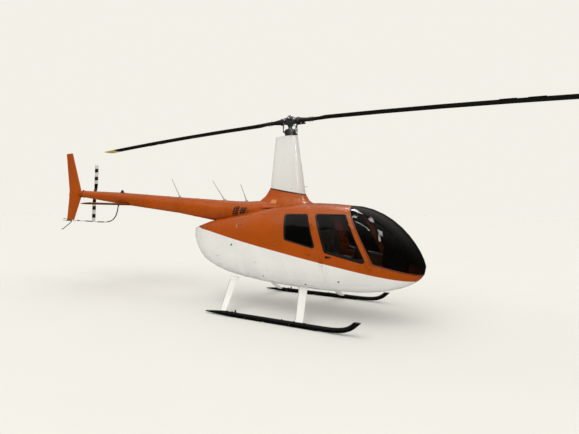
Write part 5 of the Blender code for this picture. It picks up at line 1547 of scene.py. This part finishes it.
def make_tail_rotor_detail():
    """Pitch slider, links, horns and root bolts of the tail rotor."""
    x, y, z = TAIL_HUB
    links, bolts = Shape(), Shape()
    skin = Skin("tail_blade_1", "tail_blade_2", "tail_rotor_hub")
    links.turned(at(x, 0.236, z), (0, 1, 0), TAIL_SLIDER, 24)
    links.turned(at(x, 0.405, z), (0, 1, 0), TAIL_NUT, 6)
    for way in (1, -1):
        arm = at(x + 0.060 * way, 0.255, z + 0.020 * way)
        horn = at(x + 0.062 * way, 0.335, z + 0.120 * way)
        links.tube([at(x + 0.02 * way, 0.254, z), arm], 0.009, 10)
        links.tube([arm, horn], 0.006, 10)
        for end in (arm, horn):
            links.turned(end - Vector((0.008, 0, 0)), (1, 0, 0), TAIL_ROD_END, 14)
        links.tube([at(x + 0.062 * way, 0.345, z + 0.120 * way), at(x, y, z + 0.125 * way)], 0.008, 8)
        for reach, size in TAIL_ROOT_BOLTS:
            for face in (-1, 1):
                point, _ = skin.hit(at(x - way * 0.004, y + face * 0.3, z + way * reach), (0, -face, 0))
                bolts.bolt(point, (0, face, 0), size)
    piece("tail_pitch_links", links, "head", "tail_rotor")
    piece("tail_rotor_bolts", bolts, "steel", "tail_rotor")
    cuffs = Shape()
    for way in (1, -1):
        rings = []
        for reach, chord, thick in TAIL_CUFF:
            ring = []
            for share, half in WING_SECTION:
                ring.append(at(x - way * chord * (share - 0.7), y + half * thick, z + way * reach))
            rings.append(ring)
        cuffs.skin(rings)
    piece("tail_rotor_cuffs", cuffs, "satin", "tail_rotor")


def superellipse(x, half_y, z_low, z_high, power=3.2, count=32):
    """A rounded section across x."""
    middle, half_z = (z_low + z_high) / 2, (z_high - z_low) / 2
    ring = []
    for angle in turns(count, 0.1):
        c, s = math.cos(angle), math.sin(angle)
        y = math.copysign(abs(c) ** (2 / power), c) * half_y
        ring.append(at(x, y, middle + math.copysign(abs(s) ** (2 / power), s) * half_z))
    return ring


def make_head():
    """The teetering hub with its hinge bolts, the swashplate and the pitch links."""
    hub = Shape().skin([superellipse(*row) for row in HUB_SECTIONS])
    hub.turned(at(0, 0, SHAFT_FOOT_Z), UP, SHAFT_PROFILE, 32)
    hub.turned(at(0, 0, HUB_CAP_Z), UP, HUB_CAP, 28)
    for way in (-1, 1):
        hub.turned(at(CONING_X * way, 0, HINGE_Z), (0, 1, 0), CONING_BOSS, 28)
    piece("hub_body", hub, "head", "main_rotor", stands_for=("rotor_hub",))
    bolts = Shape()
    for x, radius, half, rise in HINGE_BOLTS:
        for side in (-1, 1):
            for profile, sides in HINGE_BOLT_PROFILES:
                turned = [(height, radius * share) for height, share in profile]
                bolts.turned(at(x, side * half, HINGE_Z + rise), (0, side, 0), turned, sides)
    piece("hub_bolts", bolts, "steel", "main_rotor")
    plate = Shape().turned(at(0, 0, SWASH_FOOT_Z), UP, SWASH_PROFILE, 40, hollow=True)
    plate.turned(at(0, 0, SCISSORS[0][2]), UP, SHAFT_COLLAR, 28)
    for way in (1, -1):
        x, y = 0.060 * way, 0.177 * way
        arm = [at(x * 0.8, y * 0.35, 3.146), at(x, y * 0.8, 3.140), at(x, y, 3.138)]
        plate.tube(arm, [0.024, 0.015, 0.013], 14, flat=0.7, lean=UP)
        plate.tube([at(x, y, 3.150), at(x, y, 3.318)], 0.0085, 12)
        plate.turned(at(x, y, 3.205), UP, [(0, 0.012), (0.050, 0.012)], 6)
        for z in (3.140, 3.316):
            plate.turned(at(x - 0.010, y, z), (1, 0, 0), ROD_END, 18)
    scissors = [at(*place) for place in SCISSORS]
    for arm in (scissors[:2], scissors[1:]):
        plate.tube(arm, 0.011, 10, flat=0.6, lean=(0, 1, 0))
    plate.turned(scissors[1] - Vector((0, 0.018, 0)), (0, 1, 0), [(0, 0.012), (0.036, 0.012)], 12)
    piece("swash_assembly", plate, "head", "main_rotor", stands_for=("swashplate",))
    nuts = Shape()
    for angle in turns(8, 0.3):
        spoke = Vector((math.cos(angle), math.sin(angle), 0)) * 0.088
        nuts.bolt(at(0, 0, 3.2025) + spoke, UP, 0.0065)
    piece("swash_nuts", nuts, "steel", "main_rotor")


def make_blade_detail():
    """Root bolts, doublers, boots and trim tabs on the main blades."""
    doublers, bolts, boots, tabs = Shape(), Shape(), Shape(), Shape()
    for number, way in ((1, 1), (2, -1)):
        skin = Skin(f"main_blade_{number}")

        def on_blade(reach, across, face=1):
            origin = (MAST_X + way * reach, across * way, HEAD_Z + face)
            return skin.spot(origin, (0, 0, -face), 0.004)

        for face in (1, -1):
            for start, end, half, thick in DOUBLERS:
                low, high = DOUBLER_Y - half, DOUBLER_Y + half
                grid = []
                for v in range(5):
                    y = low + (high - low) * v / 4
                    grid.append([on_blade(start + (end - start) * u / 8, y, face) for u in range(9)])
                doublers.sheet(grid, -0.001, thick)
            for reach in (0.80, 0.86, 0.92):
                for across in (-0.052, -0.008):
                    point, normal = on_blade(reach, across, face)
                    bolts.bolt(point + normal * 0.003, normal, 0.0065)
            for reach in (0.38, 0.43):
                bolts.bolt(*on_blade(reach, 0.0, face), 0.010)
        boots.turned(at(0, 0, HEAD_Z - 0.003), (way, 0, 0), BLADE_BOOT, 28)
        near, far = sorted(way * y for y in TAB_EDGES)
        for reach in TAB_REACHES:
            point, _ = on_blade(reach, -0.150)
            low = Vector((point.x - 0.10, near, point.z - 0.006))
            high = Vector((point.x + 0.10, far, point.z - 0.003))
            tabs.block(low, high, 0.0008, Matrix.Rotation(way * (0.0159 + 0.011 * reach), 4, "Y"))
    piece("blade_doublers", doublers, "blade", "main_rotor")
    piece("blade_bolts", bolts, "steel", "main_rotor")
    piece("blade_boots", boots, "rubber", "main_rotor")
    piece("blade_trim_tabs", tabs, "blade", "main_rotor")


def make_gear():
    """Skid tubes with tapered tails, shoes, lugs, leg saddles, and each leg's strip and cuff."""
    for side_name, side in SIDES.items():
        y = side * TREAD / 2
        line = [(at(x, y, z), radius) for x, z, radius in SKID_LINE]
        rings = []
        for i, (centre, radius) in enumerate(line):
            along = (line[min(i + 1, len(line) - 1)][0] - line[max(i - 1, 0)][0]).normalized()
            up = Vector((-along.z, 0, along.x))
            spokes = [Vector((0, math.cos(a), 0)) + up * math.sin(a) for a in turns(24)]
            rings.append([centre + spoke * radius for spoke in spokes])
        rings[-1] = [p + along * ((SKID_CUT_Z - p.z) / along.z) for p in rings[-1]]
        piece(f"skid_tube_{side_name}", Shape().skin(rings), "satin", stands_for=(f"skid_{side_name}",))
        shoe, bolts, lugs = Shape(), Shape(), Shape()
        for start, end in SKID_SHOES:
            shoe.block(at(start, y - 0.021, 0.0), at(end, y + 0.021, 0.014), 0.004)
        for x in SHOE_BOLTS_X:
            for face in (-1, 1):
                bolts.bolt(at(x, y + face * 0.0335, 0.030), (0, face, -0.35), 0.0055)
        piece(f"skid_shoe_{side_name}", shoe, "satin")
        for x, profile in SKID_LUGS:
            lugs.turned(at(x, y, 0.070), UP, profile, 16)
        piece(f"skid_lugs_{side_name}", lugs, "satin")
        for place, (top_x, foot_x) in LEGS.items():
            saddle = Shape()
            for step in SADDLES[place]:
                strap = [(length * SADDLE_WIDTH, radius) for length, radius in SADDLE_PROFILE]
                saddle.turned(at(foot_x + step, y, SKID_CENTRE_Z), (1, 0, 0), strap, 28, hollow=True)
                middle = foot_x + step + SADDLE_WIDTH / 2
                bolts.bolt(at(middle, y, SKID_CENTRE_Z + 0.0395), UP, 0.006)
            piece(f"{place}_saddles_{side_name}", saddle, "satin")
            foot, head = at(foot_x, y, SKID_CENTRE_Z), at(top_x, side * LEG_TOP_Y, LEG_TOP_Z)

            def cut(share):
                return foot.lerp(head, share), LEG_CHORD[0] * share + LEG_CHORD[1] * (1 - share)

            strip, cuff = [], []
            for middle, chord in (cut(share) for share in LEG_STRIP_SHARES):
                edge = middle + Vector((-0.6 * chord, 0, 0))
                strip.append([edge + Vector((dx, dy, 0)) for dx, dy in LEG_STRIP_SECTION])
            for share, grown in LEG_CUFF_ROWS:
                middle, chord = cut(share)
                ring = []
                for px, pz in LEG_SECTION:
                    ahead = grown * (0.6 if px > -0.1 else -0.6)
                    aside = pz * 0.040 + math.copysign(grown, pz)
                    ring.append(middle + Vector((px * chord + ahead, aside, 0)))
                cuff.append(ring)
            piece(f"{place}_leg_strip_{side_name}", Shape().skin(strip), "sill")
            piece(f"{place}_leg_cuff_{side_name}", Shape().skin(cuff), "white")
        piece(f"skid_bolts_{side_name}", bolts, "steel")


def make_exhaust_detail():
    """The rolled lip of the exhaust pipe."""
    start, end = (at(*p) for p in EXHAUST)
    piece("exhaust_lip", Shape().turned(end, end - start, EXHAUST_LIP, 40, hollow=True), "exhaust")


# Cabin


def evaluated_mesh(source, name):
    graph = bpy.context.evaluated_depsgraph_get()
    graph.update()
    mesh = bpy.data.meshes.new_from_object(source.evaluated_get(graph))
    mesh.name = name
    return mesh


def pad_mesh(name, size, grooves):
    """A cushion round the origin: remeshed, blown up as cloth, capped, stitched and subdivided."""
    bm = bmesh.new()
    bmesh.ops.create_cube(bm, size=1.0)
    bmesh.ops.scale(bm, vec=size, verts=bm.verts[:])
    bmesh.ops.bevel(bm, geom=bm.edges[:], offset=PAD_EDGE, segments=4, profile=0.5, affect="EDGES")
    block = bpy.data.meshes.new(name)
    bm.to_mesh(block)
    bm.free()
    pad = bpy.data.objects.new(name, block)
    bpy.context.scene.collection.objects.link(pad)
    remesh = pad.modifiers.new("remesh", "REMESH")
    remesh.mode = "VOXEL"
    remesh.voxel_size = PAD_VOXEL
    start = evaluated_mesh(pad, name)
    pad.modifiers.clear()
    pad.data = start
    rest = [v.co.copy() for v in start.vertices]
    cloth = pad.modifiers.new("cloth", "CLOTH")
    cloth.settings.use_pressure = True
    cloth.settings.uniform_pressure_force = 4.0
    cloth.settings.effector_weights.gravity = 0.0
    cloth.point_cache.frame_start = 1
    cloth.point_cache.frame_end = PAD_FRAMES
    for number in range(1, PAD_FRAMES + 1):
        bpy.context.scene.frame_set(number)
    swollen = evaluated_mesh(pad, name)
    pad.modifiers.clear()
    bpy.context.scene.frame_set(1)
    for vertex, swell, origin in zip(start.vertices, swollen.vertices, rest):
        move = swell.co - origin
        vertex.co = origin + move * min(1.0, PAD_SWELL / max(move.length, 1e-6))
    for vertex in start.vertices:
        depth = sum(math.exp(-(((vertex.co[axis] - place) / 0.006) ** 2)) for axis, place in grooves)
        vertex.co -= vertex.co.normalized() * depth * 0.007
    finer_pad = pad.modifiers.new("finer", "SUBSURF")
    finer_pad.levels = finer_pad.render_levels = 1
    mesh = evaluated_mesh(pad, name)
    bpy.data.objects.remove(pad)
    mesh.shade_smooth()
    return mesh


def piping(mesh, half_u, half_v, axis, level):
    """Points of a welt round a cushion: cast inwards all round at a level along the axis."""
    skin = Skin(mesh)
    u, v = [i for i in range(3) if i != axis]
    points = []
    for angle in turns(72):
        ray = Vector()
        ray[u], ray[v] = half_u * math.cos(angle), half_v * math.sin(angle)
        start = ray * 1.8
        start[axis] = level
        point, _ = skin.hit(start, -ray)
        points.append(point)
    return points


def make_seats():
    """Simulated cushions and backs, their welts, and belts laid over them."""
    cushion = pad_mesh("cushion", (0.468, 0.462, 0.104), ((1, 0.0), (0, -0.09)))
    back = pad_mesh("backrest", (0.088, 0.452, 0.520), ((1, -0.11), (1, 0.11)))
    welts = (piping(cushion, 0.234, 0.231, 2, 0.030), piping(back, 0.226, 0.260, 0, 0.020))
    for name, node, rear, y, width, lean in SEATS:
        seat_top = 0.870 if node == "rear_seat" else 0.860
        low = Matrix.Translation(at(rear + 0.248, y, seat_top - 0.060)) @ Matrix.Diagonal((1, width, 1, 1))
        tilt = Matrix.Rotation(-lean, 4, "Y")
        high = Matrix.Translation(at(rear + 0.058 - 0.26 * math.sin(lean), y, seat_top + 0.275))
        high = high @ tilt @ Matrix.Diagonal((1, width, 1, 1))
        placed = []
        for kind, mesh, place in (("cushion", cushion, low), ("backrest", back, high)):
            own = mesh.copy()
            own.transform(place)
            made = add_object(f"{name}_{kind}", own, "leather", "airframe", (node,))
            placed.append(own)
        cord = Shape()
        for points, place in zip(welts, (low, high)):
            path = [place @ p for p in points]
            cord.tube(path + path[:2], 0.0045, 8)
        piece(f"{name}_welts", cord, "seam")
        make_belts(name, Skin(*placed), rear, y, width, seat_top)


def make_belts(name, skin, rear, y, width, seat_top):
    """A lap belt over the cushion and a shoulder strap down the back, with a buckle."""
    belts, metal = Shape(), Shape()
    half = 0.200 * width
    lap = []
    for step in range(13):
        share = step / 12
        ahead = 0.20 + 0.05 * math.sin(math.pi * share)
        point, _ = skin.hit(at(rear + ahead, y - half + 2 * half * share, 2.0), (0, 0, -1))
        lap.append(point + Vector((0, 0, 0.004)))
    belts.tube(lap, BELT_HALF, 10, flat=0.07, lean=(1, 0, 0))
    outer = math.copysign(0.15, y)
    strap = []
    for step in range(15):
        share = step / 14
        origin = at(rear + 1.0, y + outer * (1 - share * 1.3), seat_top + 0.50 - 0.46 * share)
        point, _ = skin.hit(origin, BACK)
        strap.append(point + Vector((0.004, 0, 0)))
    belts.tube(strap, BELT_HALF, 10, flat=0.07, lean=(0, 1, 0))
    buckle = lap[5] + Vector((0, 0, 0.006))
    metal.block(buckle - Vector((0.028, 0.034, 0.008)), buckle + Vector((0.028, 0.034, 0.010)), 0.004)
    piece(f"{name}_belts", belts, "belt")
    piece(f"{name}_buckle", metal, "steel")


def make_console_detail():
    """Gauges, radios, knobs and the hood on the instrument console."""
    origin, up = at(1.600, 0, 1.000), Vector((0.060, 0, 0.260)).normalized()
    across = Vector((0, -1, 0))
    out = across.cross(up)
    bezels, dials, marks, knobs = Shape(), Shape(), Shape(), Shape()
    for row, (height, radius) in enumerate(GAUGE_ROWS):
        for place in (-GAUGE_STEP, 0.0, GAUGE_STEP):
            centre = origin + up * height + across * place
            bezel = [(level, radius * share) for level, share in BEZEL_PROFILE]
            bezels.turned(centre, out, bezel, 28, hollow=True)
            dials.turned(centre, out, [(-0.003, radius * 0.86), (0.0015, radius * 0.86)], 28)
            tick = centre + out * 0.002
            for angle in turns(12):
                spoke = up * math.cos(angle) + across * math.sin(angle)
                marks.tube([tick + spoke * radius * 0.62, tick + spoke * radius * 0.78], 0.0011, 6)
            turn = 0.7 + 1.9 * place / GAUGE_STEP + row
            needle = up * math.cos(turn) + across * math.sin(turn)
            pivot = centre + out * 0.003
            marks.tube([pivot - needle * radius * 0.2, pivot + needle * radius * 0.66], 0.0013, 6)
    lower = at(1.5815, 0, 0.590)
    rise = Vector((0.020, 0, 0.4447)).normalized()
    face = across.cross(rise)
    for level in range(4):
        centre = lower + rise * (0.090 + 0.072 * level)
        bezels.plate(rounded(oblong(*RADIO_HALF), 0.006), centre, across, rise, -0.002, 0.008, 0.002)
        screen = rounded(oblong(*SCREEN_HALF), 0.003)
        dials.plate(screen, centre + face * 0.006, across, rise, 0.0, 0.003, 0.001)
        for place in (-0.068, 0.068):
            knobs.turned(centre + across * place + face * 0.008, face, KNOB_PROFILE, 16)
    rings = [[at(x, y, z + lift * share) for x, z, lift in HOOD_SECTION] for y, share in HOOD_ROWS]
    piece("console_hood", Shape().skin(rings), "plastic")
    piece("console_bezels", bezels, "plastic")
    piece("console_dials", dials, "dial")
    piece("console_marks", marks, "sill")
    piece("console_knobs", knobs, "aluminium")


def make_controls():
    """Grips on the cyclic bar, pedals and the collective levers."""
    grips, pedals, levers = Shape(), Shape(), Shape()
    bar_x, bar_z, half = STICK_BAR
    for side in (-1, 1):
        grip = [at(bar_x + x, side * (half - inward), bar_z - drop) for x, inward, drop in GRIP_LINE]
        grips.tube(grip, [0.020, 0.019, 0.016], 16)
        grips.turned(grip[0], UP, [(-0.01, 0.020), (0.006, 0.022), (0.014, 0.016)], 16)
        for way in (-1, 1):
            y = side * 0.30 + way * 0.075
            tread = (at(1.690, y - 0.035, 0.625), at(1.702, y + 0.035, 0.735))
            pedals.block(*tread, 0.004, Matrix.Rotation(-0.35, 4, "Y"))
            pedals.tube([at(1.705, y, 0.665), at(1.735, y, 0.620), at(1.725, y, 0.560)], 0.009, 10)
        base = at(0.760, side * 0.022 if side < 0 else 0.575, 0.700)
        tip = base + Vector((0.340, 0, 0.175))
        levers.tube([base, base.lerp(tip, 0.6), tip], 0.011, 12)
        levers.tube([base.lerp(tip, 0.72), tip + (tip - base) * 0.02], [0.016, 0.017], 16)
    piece("cyclic_grips", grips, "rubber")
    piece("pedals", pedals, "aluminium")
    piece("collective_levers", levers, "plastic")


def make_cabin_lining():
    """The headliner under the roof and sound-proofing on the rear bulkhead."""
    skin = Skin("cabin_shell")
    liner = Shape()
    grid = []
    for step in range(15):
        y = -0.50 + step / 14
        grid.append([skin.spot((0.14 + 0.96 * k / 16 + MAST_X, y, 4.0), (0, 0, -1)) for k in range(17)])
    liner.sheet(grid, -0.038, -0.030)
    piece("headliner", liner, "lining")
    quilt = Shape()
    for row in range(3):
        for column in range(6):
            y, z = -0.46 + 0.184 * column, 0.98 + 0.185 * row
            quilt.block(at(0.1035, y - 0.088, z - 0.088), at(0.112, y + 0.088, z + 0.088), 0.004)
    piece("bulkhead_quilt", quilt, "lining")


bpy.context.scene.view_settings.view_transform = "Standard"
make_camera()
make_world()
make_lights()
make_floor(MATERIALS["floor"])
dress_nodes()
make_door_trim()
make_door_inside()
make_door_hardware()
make_flank_marks()
make_windshield_trim()
make_fairing_detail()
make_tunnel_detail()
make_cowl_detail()
make_boom_detail()
make_tail_detail()
make_tail_rotor_detail()
make_head()
make_blade_detail()
make_gear()
make_exhaust_detail()
make_seats()
make_console_detail()
make_controls()
make_cabin_lining()
